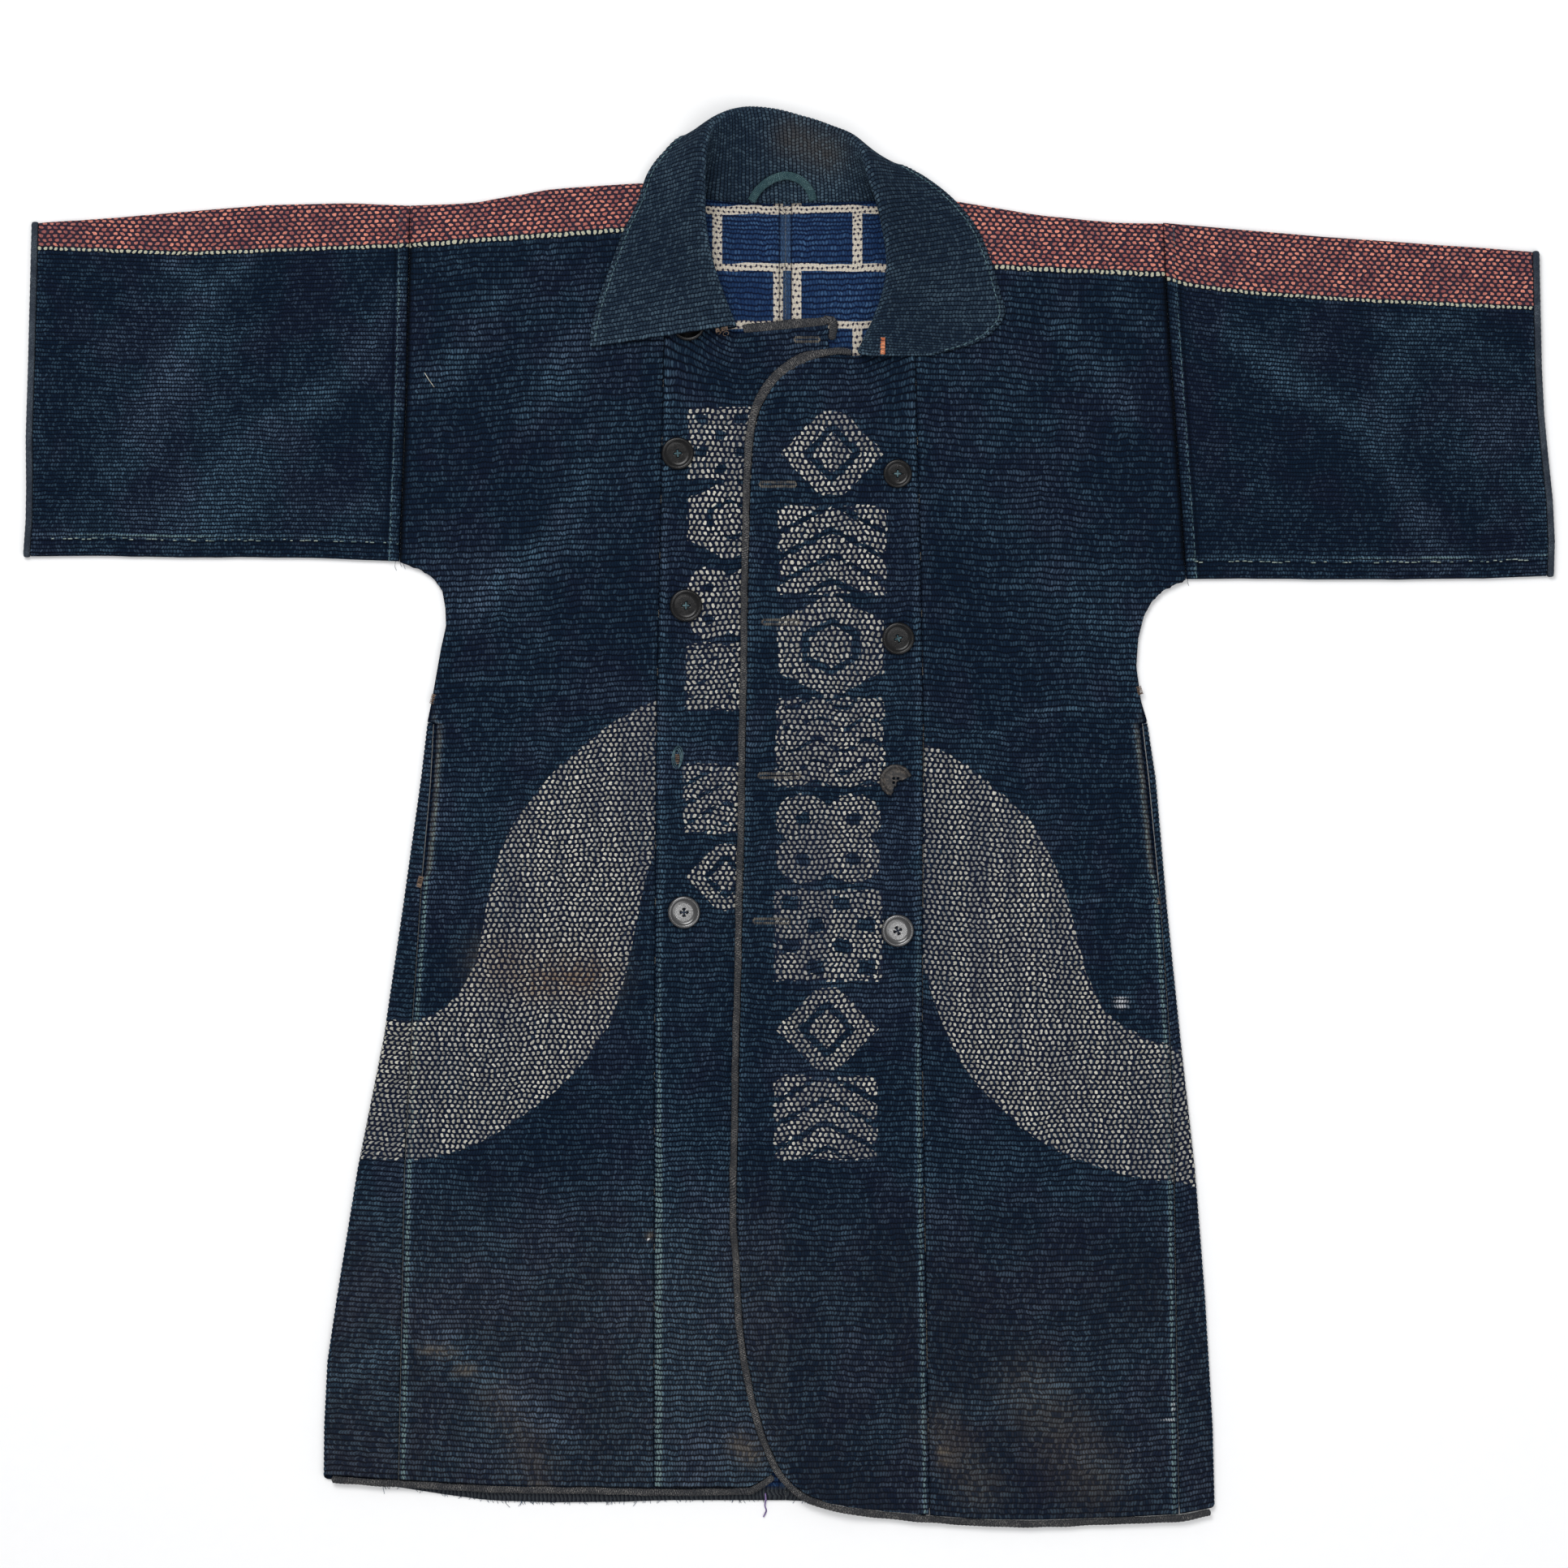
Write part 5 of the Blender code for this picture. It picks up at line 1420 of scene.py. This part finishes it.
def new_material(name, roughness, sheen=0.0, sheen_tint=None, specular=0.06):
    """A material, words for its nodes, and its shader."""
    material = bpy.data.materials.new(name)
    material.use_nodes = True
    tree = material.node_tree
    shader = next(node for node in tree.nodes if node.type == "BSDF_PRINCIPLED")
    shader.inputs["Roughness"].default_value = roughness
    shader.inputs["Specular IOR Level"].default_value = specular
    shader.inputs["Sheen Weight"].default_value = sheen
    shader.inputs["Sheen Roughness"].default_value = 0.45
    if sheen_tint:
        shader.inputs["Sheen Tint"].default_value = sheen_tint
    return material, Nodes(tree), shader


def weave_places(n):
    """Millimetres along the ribs, the count of ribs, and object coordinates."""
    spot = n.add("ShaderNodeSeparateXYZ")
    n.plug(spot.inputs[0], n.add("ShaderNodeUVMap", uv_map="Weave").outputs[0])
    along = n.times(spot.outputs[0], 1000.0)
    rib = n.times(spot.outputs[1], 100.0)
    drift = n.noise(n.pair(n.times(along, 0.06), n.times(rib, 0.7)), 1.0, 2.0)
    stray = n.noise(n.pair(n.times(along, 0.13), n.times(rib, 0.25)), 1.0, 1.0)
    along = n.plus(along, n.scaled(drift, 6.0, -3.0))
    rib = n.plus(rib, n.scaled(stray, 0.7, -0.35))
    return along, rib, n.add("ShaderNodeTexCoord").outputs["Object"]


def bump(n, shader, height, distance):
    node = n.add("ShaderNodeBump")
    node.inputs["Strength"].default_value = 1.0
    node.inputs["Distance"].default_value = distance * MM
    n.plug(node.inputs["Height"], height)
    n.plug(shader.inputs["Normal"], node.outputs[0])


def fibrous(n, shader, place, height, fineness, fibres, distance):
    """Bump of a weave and its loose fibres."""
    bump(n, shader, n.plus(height, n.times(n.noise(place, fineness, 2.0), fibres)), distance)


def jacket_cloth():
    """Indigo ribbed cloth with its cream and red patterns woven in."""
    material, n, shader = new_material("indigo cloth", 0.9, 0.02, paint(150, 165, 185))
    along, rib, place = weave_places(n)
    weave = n.group(weave_group, Along=along, Rib=rib, Bead=2.25)
    patches = n.noise(place, 9.0, 4.0)
    blotches = n.noise(place, 42.0, 3.0)
    uneven = n.plus(n.times(patches, 0.6), n.times(blotches, 0.4))
    # The wear field also holds painted shade, as values below zero.
    worn = n.field("worn")
    wear_and_shade_level = n.plus(n.times(worn, 0.85), n.between(uneven, 0.4, 0.66, -0.08, 0.2))
    plum = n.between(n.noise(place, 17.0, 2.0), 0.46, 0.62)
    thread = n.blend(plum, paint(11, 26, 43), paint(15, 25, 43))
    tip = n.blend(plum, paint(71, 97, 116), paint(75, 94, 114))
    tip = n.blend(n.between(worn, 0.62, 1.15), tip, paint(104, 128, 132))
    navy = dyed_and_shaded(n, weave, paint(6, 10, 20), thread, tip, wear_and_shade_level)
    cream = n.field("cream")
    cream_dots = n.group(dots_group, Along=along, Rib=rib, Dot=4.4, Wide=0.52, High=0.7, Inside=cream)
    cream_tone = n.blend(cream_dots["Chance"], paint(142, 140, 130), paint(206, 203, 190))
    streaks = n.noise(n.pair(n.times(along, 0.11), n.times(rib, 0.012)), 1.0, 3.0)
    faded = n.plus(n.times(patches, 0.4), n.times(streaks, 0.6))
    faded = n.between(faded, 0.42, 0.62, 0.0, 0.7)
    cream_tone = n.blend(faded, cream_tone, paint(94, 97, 102))
    ground = n.blend(n.between(cream, -0.5, 0.5, 0.0, 0.6), navy, paint(24, 28, 46))
    colour = n.blend(cream_dots["Mask"], ground, cream_tone)
    red = n.field("red")
    red_inside = n.times(n.plus(n.floor(red), 0.5), 4.0)
    red_dots = n.group(dots_group, Along=along, Rib=rib, Dot=5.57, Wide=0.58, High=0.7, Inside=red_inside)
    red_tone = n.blend(red_dots["Chance"], paint(156, 90, 86), paint(228, 146, 126))
    faded_red = n.times(n.between(blotches, 0.45, 0.62), 0.5)
    red_tone = n.blend(faded_red, red_tone, paint(112, 66, 74))
    red_ground = n.blend(n.between(red, -0.1, 0.1, 0.0, 0.8), colour, paint(54, 42, 54))
    colour = n.blend(red_dots["Mask"], red_ground, red_tone)
    border = n.times(n.math("GREATER_THAN", red, -1.02), n.math("LESS_THAN", red, -0.02))
    border_dots = n.group(dots_group, Along=along, Rib=rib, Dot=4.4, Wide=0.6, High=0.8, Inside=20.0)
    border = n.times(border, border_dots["Mask"])
    colour = n.blend(border, colour, paint(182, 180, 158))
    tape_tone = overcast(n, along, rib, paint(28, 42, 58), paint(78, 98, 116))
    colour = n.blend(n.field("edging"), colour, tape_tone)
    speckled = n.between(n.times(weave["Chance"], weave["Height"]), 0.05, 0.5, 0.3, 1.0)
    stain = n.times(n.field("soiled"), speckled, clamp=True)
    soiled_ground = n.blend(n.between(cream, -0.5, 0.5), paint(104, 95, 82), paint(42, 38, 44))
    colour = n.blend(stain, colour, n.blend(cream_dots["Mask"], soiled_ground, paint(126, 108, 90)))
    chalk = n.times(n.field("chalky"), weave["Height"], clamp=True)
    colour = n.blend(n.between(chalk, 0.15, 0.6), colour, paint(214, 216, 220))
    n.plug(shader.inputs["Base Color"], colour)
    raised = n.math("MAXIMUM", n.math("MAXIMUM", cream_dots["Mask"], red_dots["Mask"]), border)
    fibrous(n, shader, place, n.plus(weave["Height"], n.times(raised, 0.45)), 2600.0, 0.35, 0.55)
    n.plug(shader.inputs["Roughness"], n.scaled(weave["Chance"], 0.1, 0.82))
    return material


COURSE_HIGH = 45.6
BRICK_WIDE = 110.7


def lining_side():
    """The cloth's inner side: clear blue ribs crossed by cream lines like brickwork."""
    material, n, shader = new_material("lining side", 0.9, 0.02, paint(150, 170, 200))
    along, rib, place = weave_places(n)
    weave = n.group(weave_group, Along=along, Rib=rib, Bead=2.5)
    patches = n.noise(place, 14.0, 4.0)
    wear_and_shade_level = n.plus(n.field("worn"), n.between(patches, 0.35, 0.7, -0.1, 0.3))
    blue = dyed_and_shaded(n, weave, paint(12, 19, 40), paint(25, 47, 82), paint(70, 102, 138), wear_and_shade_level)
    spot = n.add("ShaderNodeSeparateXYZ")
    n.plug(spot.inputs[0], place)
    across_back, up_back = spot.outputs[0], spot.outputs[1]
    from_middle = n.magnitude(across_back)
    askew = n.scaled(n.noise(place, 26.0, 2.0), 0.14, -0.07)
    height = n.plus(n.over(n.minus(up_back, 0.3893), COURSE_HIGH * MM), askew)
    level = n.times(n.magnitude(n.minus(height, n.math("ROUND", height))), COURSE_HIGH)
    stagger = n.times(n.math("FLOORED_MODULO", n.floor(height), 2.0), 0.5)
    side = n.plus(n.over(n.plus(across_back, 0.0018), BRICK_WIDE * MM), stagger)
    upright = n.times(n.magnitude(n.minus(side, n.math("ROUND", side))), BRICK_WIDE)
    by_seam = n.math("LESS_THAN", from_middle, 0.03)
    doubled = n.times(by_seam, n.magnitude(n.minus(upright, 7.2)))
    upright = n.plus(doubled, n.times(n.minus(1.0, by_seam), upright))
    line = n.between(n.math("MINIMUM", level, n.times(upright, 0.78)), 3.2, 2.8)
    line = n.times(line, n.between(from_middle, 0.25, 0.24))
    line = n.times(line, n.between(up_back, -0.5, -0.48))
    half_rib = n.plus(rib, 0.5)
    dots = n.group(dots_group, Along=along, Rib=half_rib, Dot=4.0, Wide=0.42, High=0.42, Inside=20.0)
    yarn = n.blend(n.between(weave["Height"], 0.0, 0.5), paint(140, 132, 122), paint(196, 188, 174))
    cream = n.blend(dots["Mask"], yarn, paint(46, 44, 62))
    tape_tone = overcast(n, along, rib, paint(26, 29, 36), paint(58, 62, 66))
    from_seam = n.times(n.magnitude(n.plus(across_back, 0.00325)), 1000.0)
    blue = n.blend(n.between(from_seam, 4.2, 3.4, 0.0, 0.35), blue, paint(74, 98, 128))
    inside = n.blend(line, blue, cream)
    by_allowance = n.between(n.magnitude(n.minus(from_seam, 4.8)), 0.9, 0.4, 0.0, 0.6)
    inside = n.blend(by_allowance, inside, paint(8, 12, 26))
    # Painted shade: the inner side is made almost black beyond 0.24 m from the middle, towards the jacket's
    # sides.
    inside = n.blend(n.between(from_middle, 0.24, 0.25, 0.0, 0.8), inside, paint(5, 7, 14))
    n.plug(shader.inputs["Base Color"], n.blend(n.field("edging"), inside, tape_tone))
    fibrous(n, shader, place, weave["Height"], 2600.0, 0.3, 0.5)
    return material


def collar_cloth_material():
    """Darker ribbed cloth of the collar, faded pale by wear at its edge and its roll."""
    material, n, shader = new_material("collar cloth", 0.9, 0.02, paint(150, 170, 180))
    along, rib, place = weave_places(n)
    weave = n.group(weave_group, Along=along, Rib=rib, Bead=2.6)
    patches = n.noise(place, 16.0, 4.0)
    wear_and_shade_level = n.plus(n.field("worn"), n.between(patches, 0.38, 0.66, -0.06, 0.16))
    colour = dyed_and_shaded(n, weave, paint(9, 14, 24), paint(25, 38, 53), paint(76, 96, 110), wear_and_shade_level)
    soiled = n.times(n.field("soiled"), n.between(weave["Height"], 0.1, 0.8), clamp=True)
    n.plug(shader.inputs["Base Color"], n.blend(soiled, colour, paint(98, 84, 62)))
    fibrous(n, shader, place, weave["Height"], 2600.0, 0.35, 0.55)
    return material


def tape_material(name, groove, thread, tip):
    """Woven tape, with slanting threads and a crown faded by wear."""
    material, n, shader = new_material(name, 0.85, 0.03, paint(180, 180, 180))
    along, rib, place = weave_places(n)
    slant = n.plus(n.times(along, 0.9), n.times(rib, 3.0))
    weave = n.group(weave_group, Along=n.times(rib, 9.0), Rib=slant, Bead=1.6)
    patches = n.noise(place, 60.0, 4.0)
    wear_and_shade_level = n.between(patches, 0.35, 0.7, -0.1, 0.9)
    n.plug(shader.inputs["Base Color"], dyed_and_shaded(n, weave, groove, thread, tip, wear_and_shade_level))
    fibrous(n, shader, place, weave["Height"], 2400.0, 0.5, 0.35)
    return material


def thread_material(name, dark, pale):
    """Sewing thread, a little uneven in its dye."""
    material, n, shader = new_material(name, 0.7, 0.1)
    place = n.add("ShaderNodeTexCoord").outputs["Object"]
    patches = n.noise(place, 220.0, 3.0)
    n.plug(shader.inputs["Base Color"], n.blend(n.between(patches, 0.35, 0.65), dark, pale))
    bump(n, shader, n.noise(place, 3800.0, 2.0), 0.12)
    return material


def button_material(name, specular, rough_low, rough_high, coat, depth, dark, pale):
    """Black moulded buttons, scuffed, with dust in the dish; a paler copy paints a highlight on the rim."""
    material, n, shader = new_material(name, 0.3, specular=specular)
    shader.inputs["Coat Weight"].default_value = coat
    shader.inputs["Coat Roughness"].default_value = 0.2
    place = n.add("ShaderNodeTexCoord").outputs["Object"]
    scuffs = n.noise(place, 420.0, 5.0, 0.65)
    dust = n.noise(place, 150.0, 3.0)
    pits = n.between(scuffs, 0.6, 0.72)
    dusty = n.between(dust, 0.35, 0.7, 0.0, 0.5)
    colour = n.blend(dusty, paint(dark, dark, dark + 1), paint(pale, pale - 1, pale))
    colour = n.blend(n.times(pits, 0.25), colour, paint(72, 68, 64))
    n.plug(shader.inputs["Base Color"], colour)
    n.plug(shader.inputs["Roughness"], n.between(scuffs, 0.3, 0.75, rough_low, rough_high))
    bump(n, shader, scuffs, depth)
    return material


def broken_material():
    """Old horn-like black plastic with a pale fracture and rough pits."""
    material, n, shader = new_material("broken button", 0.45, specular=0.4)
    place = n.add("ShaderNodeTexCoord").outputs["Object"]
    scuffs = n.noise(place, 500.0, 5.0, 0.65)
    colour = n.blend(n.between(scuffs, 0.46, 0.72), paint(26, 24, 25), paint(92, 84, 76))
    n.plug(shader.inputs["Base Color"], colour)
    bump(n, shader, scuffs, 0.15)
    return material


def floor_material():
    """Pale paper floor with a faint grain."""
    material, n, shader = new_material("pale paper", 0.9, specular=0.2)
    place = n.add("ShaderNodeTexCoord").outputs["Object"]
    grain = n.noise(place, 90.0, 4.0)
    n.plug(shader.inputs["Base Color"], n.blend(grain, paint(250, 250, 250), paint(253, 253, 253)))
    bump(n, shader, grain, 0.05)
    return material


indigo = jacket_cloth()
lining = lining_side()
collar_material = collar_cloth_material()
tape = tape_material("binding tape", paint(26, 27, 30), paint(62, 63, 66), paint(112, 110, 108))
cuff_tape = tape_material("cuff tape", paint(22, 27, 36), paint(56, 64, 76), paint(98, 108, 118))
loop_tape = tape_material("loop tape", paint(26, 44, 50), paint(54, 80, 86), paint(100, 128, 130))
black = button_material("black button", 0.28, 0.18, 0.32, 0.0, 0.02, 8, 24)
polished = button_material("polished button", 0.9, 0.2, 0.3, 0.8, 0.01, 26, 46)
# A paler copy of the button material: a painted highlight on the rim.
rim_highlight = button_material("painted rim highlight", 0.5, 0.2, 0.4, 0.0, 0.03, 46, 104)
fractured = broken_material()
navy_thread = thread_material("navy thread", paint(30, 42, 62), paint(78, 98, 120))
teal_thread = thread_material("teal thread", paint(52, 76, 84), paint(98, 124, 130))
faded_thread = thread_material("faded thread", paint(78, 98, 100), paint(150, 162, 154))
pale_thread = thread_material("pale thread", paint(150, 146, 132), paint(206, 204, 190))
brown_thread = thread_material("brown thread", paint(82, 66, 56), paint(134, 114, 98))
drab_thread = thread_material("drab thread", paint(58, 58, 60), paint(116, 111, 102))
dark_thread = thread_material("dark thread", paint(18, 22, 32), paint(50, 58, 72))
orange_thread = thread_material("orange thread", paint(176, 96, 64), paint(222, 150, 112))
purple_thread = thread_material("purple thread", paint(96, 74, 126), paint(150, 128, 180))


CUTS = {"body": body_cloth, "gore": gore_cloth, "band": band_cloth, "sleeve": sleeve_cloth}
for kind, sewn in CUTS.items():
    for half in (RIGHT, LEFT):
        node = kind + "_" + half.side
        settled(sewn("ribbed_" + node, half), "indigo_cloth", node)
settled(collar_cloth("ribbed_collar"), "collar_cloth", "collar")

left_edge = [Point(49, 364.5)] + BAND_EDGE_LEFT + FRONT_HEM_LEFT[1:-1] + [Point(332, -544.3)]
tab_edge = [Point(-36, 383.2), Point(0, 386.5), Point(26, 389.1), Point(31.8, 390.8), Point(31, 378)]
right_hem = [Point(-361, -518.5)] + FRONT_HEM_RIGHT[1:] + BAND_EDGE_RIGHT[-2:-4:-1]
EVEN = [(0, 1)]
NECK_WIDTHS = [(0, 0.9), (20, 1.1), (38, 1.55), (66, 1.45), (100, 1.2), (160, 1)]
TAB_WIDTHS = [(0, 1.3), (40, 1.45), (68, 1.3), (82, 1)]
BINDINGS = (
    ("binding_left", left_edge, -1, left_band_height, NECK_WIDTHS),
    ("binding_neck_right", tab_edge, 1, front_height, TAB_WIDTHS),
    ("binding_hem_right", right_hem, -1, front_height, EVEN),
)
for node, path, outside, height, widths in BINDINGS:
    piece = binding("rolled_" + node, path, outside, height, widths, tape)
    settled(piece, "binding_tape", node)
for half in (RIGHT, LEFT):
    piece = cuff_roll("rolled_cuff_" + half.side, half)
    settled(piece, "binding_tape", "binding_cuff_" + half.side)


def loop_cloth():
    """The hanger loop: a bowed strip of tape sewn down by its two ends."""
    path = smooth_path([(point.x, point.y, 0) for point in LOOP_PATH], 0.9)
    stand = collar_line(COLLAR[11], LOOP_STEPS)[: LOOP_STEPS // 2 + 1]
    stand_y = [point.y for point in stand]
    stand_z = [point.z for point in stand]
    rows = []
    for number, point in enumerate(path):
        way = (path[min(number + 1, len(path) - 1)] - path[max(number - 1, 0)]).normalized()
        bow = LOOP_BOW * math.sin(math.pi * number / (len(path) - 1))
        row = []
        for share in np.linspace(-0.5, 0.5, 7):
            x = point.x + share * way.y * LOOP_WIDE
            y = point.y - share * way.x * LOOP_WIDE
            lifted = float(np.interp(y, stand_y, stand_z)) + WALL / 2 + LOOP_LIFT + LOOP_WALL + bow
            row.append((x, y, lifted + 0.15 * math.sin(number * 1.9) - abs(share) ** 3))
        rows.append(row)
    table = np.array(rows)
    count = np.arange(len(rows))[:, None] * 0.9 + np.zeros(table.shape[:2])
    x, y, z = (table[:, :, k] for k in range(3))
    cloth = Cloth(x, y, z, count, np.linspace(0, 1, 7)[None, :] + 0 * count)
    return make_cloth("woven_loop", cloth, loop_tape, loop_tape, wall=LOOP_WALL)


loop = settled(loop_cloth(), "loop_tape", "hanger_loop")

holes = four_holes()
wedge = ragged_wedge(BREAK_LINE)
cross_threads = []
dark_threads = []
for button in BUTTONS:
    height = left_band_height if button.x > 0 else front_height
    reach = button.width / 2
    around = [(button.x + reach * math.cos(k), button.y + reach * math.sin(k)) for k in range(6)]
    under = max(float(height(x, y)) for x, y in around) + SEAM
    shape = drilled(turned_button(button.width), [holes] if button.whole else [holes, wedge])
    # The outermost ring of the rim gets the paler copy of the material, a painted highlight.
    for face in shape.polygons:
        on_rim = math.hypot(face.center.x, face.center.y) > 0.955 * reach * MM and face.center.z > 1.2 * MM
        face.material_index = 1 if on_rim else 0
    place = Vector((button.x, button.y, under)) + Vector(TO_MIDDLE)
    turn = math.sin(button.y) * 0.8
    shape.transform(Matrix.Translation(place * MM) @ Matrix.Rotation(turn if button.whole else 0.0, 4, "Z"))
    shape.materials.clear()
    looks = (polished if button.y < 0 else black, rim_highlight) if button.whole else (fractured, fractured)
    settled(finish_piece("turned_" + button.name, shape, *looks), "button_black", button.name)
    if button.whole:
        for k in (0, 1):
            for strand in (-0.35, 0.0, 0.35):
                angle = math.pi / 4 + math.pi / 2 * k + turn
                start = Vector((math.cos(angle), math.sin(angle), 0)) * HOLE_OUT
                aside = Vector((-start.y, start.x, 0)).normalized() * strand
                middle = Vector((button.x, button.y, under + 2.15 + 0.15 * k)) + aside
                below = start * 1.1 - Vector((0, 0, 1.0)), start * -1.1 - Vector((0, 0, 1.0))
                ways = (below[0], start * 0.8, start * -0.8, below[1])
                (dark_threads if button.y < 0 else cross_threads).append([middle + way for way in ways])
threads("button_threads", cross_threads, 0.26, teal_thread, "button_black")
threads("button_threads_low", dark_threads, 0.26, dark_thread, "button_black")

# Buttonholes, bar tacks, edge stitches and loose ends
BUTTONHOLES_LEFT = ((-9, 263.5, 28), (-7, 155, 28), (-8, 33.8, 32), (-14, -80.8, 28))
holes_thread = []
for x, y, length in BUTTONHOLES_LEFT:
    holes_thread += buttonhole(x, y, length, left_band_height)
holes_thread += buttonhole(14.0, 378.0, 19.0, front_height)
slots = threads("buttonhole_threads", holes_thread, 0.34, drab_thread, "indigo_cloth")

POCKET_ENDS = ((-281, 94.3, 7, 1.3), (-291.5, -50, 8, 1.3), (276.5, 101, 6, -1.3), (289.5, -64, 7, -1.3))
tacks = []
for x, y, length, angle in POCKET_ENDS:
    tacks += bartack(x, y, length, 4.0, angle, front_height)
bars = threads("pocket_tacks", tacks, 0.34, brown_thread, "indigo_cloth")

collar_lines = [collar_line(row, COLLAR_STEPS) for row in smooth_rows(COLLAR, 260)]
leaf_edge = []
for line in collar_lines:
    inward_way = (line[-3] - line[-1]).normalized()
    leaf_edge.append(line[-1] + inward_way * 4.2 + Vector((0, 0, WALL / 2 + 0.2)))
leaf_stitches = stitch_row(leaf_edge[4:-4], 5.6, 2.6, 0.25)
edge_stitches = threads("collar_stitches", leaf_stitches, 0.42, teal_thread, "collar_cloth")


chances = np.random.default_rng(11)


def uneven_row(path, step, lift):
    """Worn stitches of uneven length, some of them gone."""
    row = []
    for start, middle, end in stitch_row(path, step, 3.0, lift):
        if chances.random() < 0.62:
            stretch = 0.5 + 0.9 * chances.random()
            aside = Vector((0, 1.4 * chances.random() - 0.7, 0))
            reach = (start, mix(start, middle, stretch), mix(start, end, stretch))
            row.append([point + aside for point in reach])
    return row


bottom_stitches = []
armhole_stitches = []
for half in (RIGHT, LEFT):
    path = [(point.x, point.y + 13.6) for point in half.sleeve_low]
    bottom_stitches += uneven_row(front_path(path, 0.25), 4.6, 0.35)
    path = [(edge.x + half.outward * 8.0, edge.y) for edge in half.armhole]
    armhole_stitches += stitch_row(front_path(path, -0.1), 5.5, 3.2, 0.35)
bottom_rows = threads("sleeve_bottom_stitches", bottom_stitches, 0.46, faded_thread, "indigo_cloth")
seamed = threads("sleeve_stitches", armhole_stitches, 0.36, teal_thread, "indigo_cloth")

collar_points = np.array([tuple(point) for line in collar_lines for point in line])


def collar_height(x, y):
    """Top of the collar at a place, or of the front beside it."""
    near = np.hypot(collar_points[:, 0] - x, collar_points[:, 1] - y) < 3.0
    return collar_points[near, 2].max(initial=float(front_height(x, y)) + 0.6) + WALL / 2 - 0.2


def slack_loop(x, y, half_x, half_y, lean, height, rise):
    """A slack loop of thread lying on the cloth."""
    path = []
    for turn in np.linspace(0.3, 2 * math.pi - 0.3, 16):
        across_loop, up_loop = half_x * math.sin(turn), -half_y * math.cos(turn)
        place_x = x + across_loop * math.cos(lean) - up_loop * math.sin(lean)
        place_y = y + across_loop * math.sin(lean) + up_loop * math.cos(lean)
        path.append((place_x, place_y, float(height(place_x, place_y)) + rise + 0.3 * math.sin(turn * 2)))
    return path


knot = bartack(73.6, 372.2, 12.5, 3.4, math.pi / 2, collar_height)
mend = threads("collar_mend", knot, 0.4, orange_thread, "collar_cloth")
tab_stitches = bartack(-53.0, 385.0, 9.0, 3.0, 0.2, collar_height) + [
    slack_loop(-50.0, 382.5, 2.2, 1.6, 0.4, collar_height, 0.4),
    slack_loop(-56.0, 383.5, 1.8, 1.4, -0.5, collar_height, 0.3),
]
tab_threads = threads("tab_threads", tab_stitches, 0.28, brown_thread, "collar_cloth")
lost = [
    slack_loop(-88.3, 48.3, 4.2 - 0.9 * k, 9.0 - 1.4 * k, -0.12 + 0.1 * k, front_height, 0.5 + 0.2 * k)
    for k in range(3)
]
lost_threads = threads("lost_button_threads", lost, 0.3, teal_thread, "indigo_cloth")
knots = bartack(-88.3, 47.0, 7.0, 3.0, math.pi / 2, front_height)
lost_knot = threads("lost_button_knot", knots, 0.34, brown_thread, "indigo_cloth")
loose = front_path([(-287.7, 351.7), (-284.5, 346.4), (-280.0, 340.2)], 0.5)
stray = threads("stray_thread", [loose], 0.28, pale_thread, "indigo_cloth")
tail = [
    (-18.9, -533.0, 3.0), (-18.6, -538.0, 2.6), (-19.2, -543.0, 1.6), (-18.2, -547.0, 1.1),
    (-20.4, -552.0, 0.9),
]
threads("hem_tail", [smooth_path(tail, 1.0)], 0.55, purple_thread, "indigo_cloth", sides=2)

FRAYED = ((BACK_HEM_RIGHT, -330, -10, 150), (BACK_HEM_LEFT, 0, 30, 16))
CORNER_HAIRS = ((-307.0, 205.0), (-311.0, 202.0), (-304.0, 203.0), (315.0, 190.0))
hairs = []
for hem, low_x, high_x, count in FRAYED:
    for x in chances.uniform(low_x, high_x, count):
        y = float(line_y(hem, x))
        reach = float(chances.uniform(1.2, 4.6)) * (1.8 if chances.uniform() > 0.93 else 1.0)
        lean = float(chances.uniform(-0.9, 0.9))
        rise = float(chances.uniform(0.5, 2.2))
        middle = (x + lean * reach * 0.4, y - reach * 0.5, rise * 0.7)
        hairs.append([(x, y + 1.5, rise), middle, (x + lean * reach, y - reach, 0.5)])
for x, y in CORNER_HAIRS:
    hairs.append([(x, y + 1.0, 4.0), (x - 0.5, y - 3.0, 2.4), (x + 0.6, y - 6.0, 1.2)])
fray = threads("frayed_hem", hairs, 0.16, navy_thread, "indigo_cloth")

floor_mesh = bmesh.new()
bmesh.ops.create_grid(floor_mesh, x_segments=4, y_segments=4, size=6.0)
floor = placed("floor", mesh_data("floor", floor_mesh))
floor.data.materials.append(floor_material())
floor.location = (0, 0, -0.0002)


def soft_light(name, place, width, depth, power):
    """A soft light aimed at the jacket."""
    light = bpy.data.lights.new(name, "AREA")
    light.shape = "RECTANGLE"
    light.size = width
    light.size_y = depth
    light.energy = power
    lamp = placed(name, light)
    lamp.location = place
    lamp.rotation_euler = (-Vector(place)).to_track_quat("-Z", "Y").to_euler()


soft_light("light over the head end", (-0.9, 1.9, 3.2), 1.6, 1.6, 72.0)
soft_light("light over the hem", (1.3, -1.2, 3.4), 2.6, 2.6, 34.0)
soft_light("light beside the camera", (0.0, -0.19, 3.7), 0.6, 0.2, 5.5)
world = bpy.data.worlds.new("pale room")
world.use_nodes = True
background = world.node_tree.nodes["Background"].inputs
background["Color"].default_value = (0.97, 0.98, 1.0, 1.0)
background["Strength"].default_value = 0.5
bpy.context.scene.world = world
bpy.context.scene.view_settings.view_transform = "Standard"

LENS = 110.0
SENSOR = 36.0
VIEW_WIDE = 1.2375  # metres across the picture at the height of the front
eye = bpy.data.cameras.new("camera")
eye.lens = LENS
eye.sensor_width = SENSOR
camera = placed("camera", eye)
camera.location = (-0.00441, 0.02675, STACK * MM + VIEW_WIDE * LENS / SENSOR)
bpy.context.scene.camera = camera
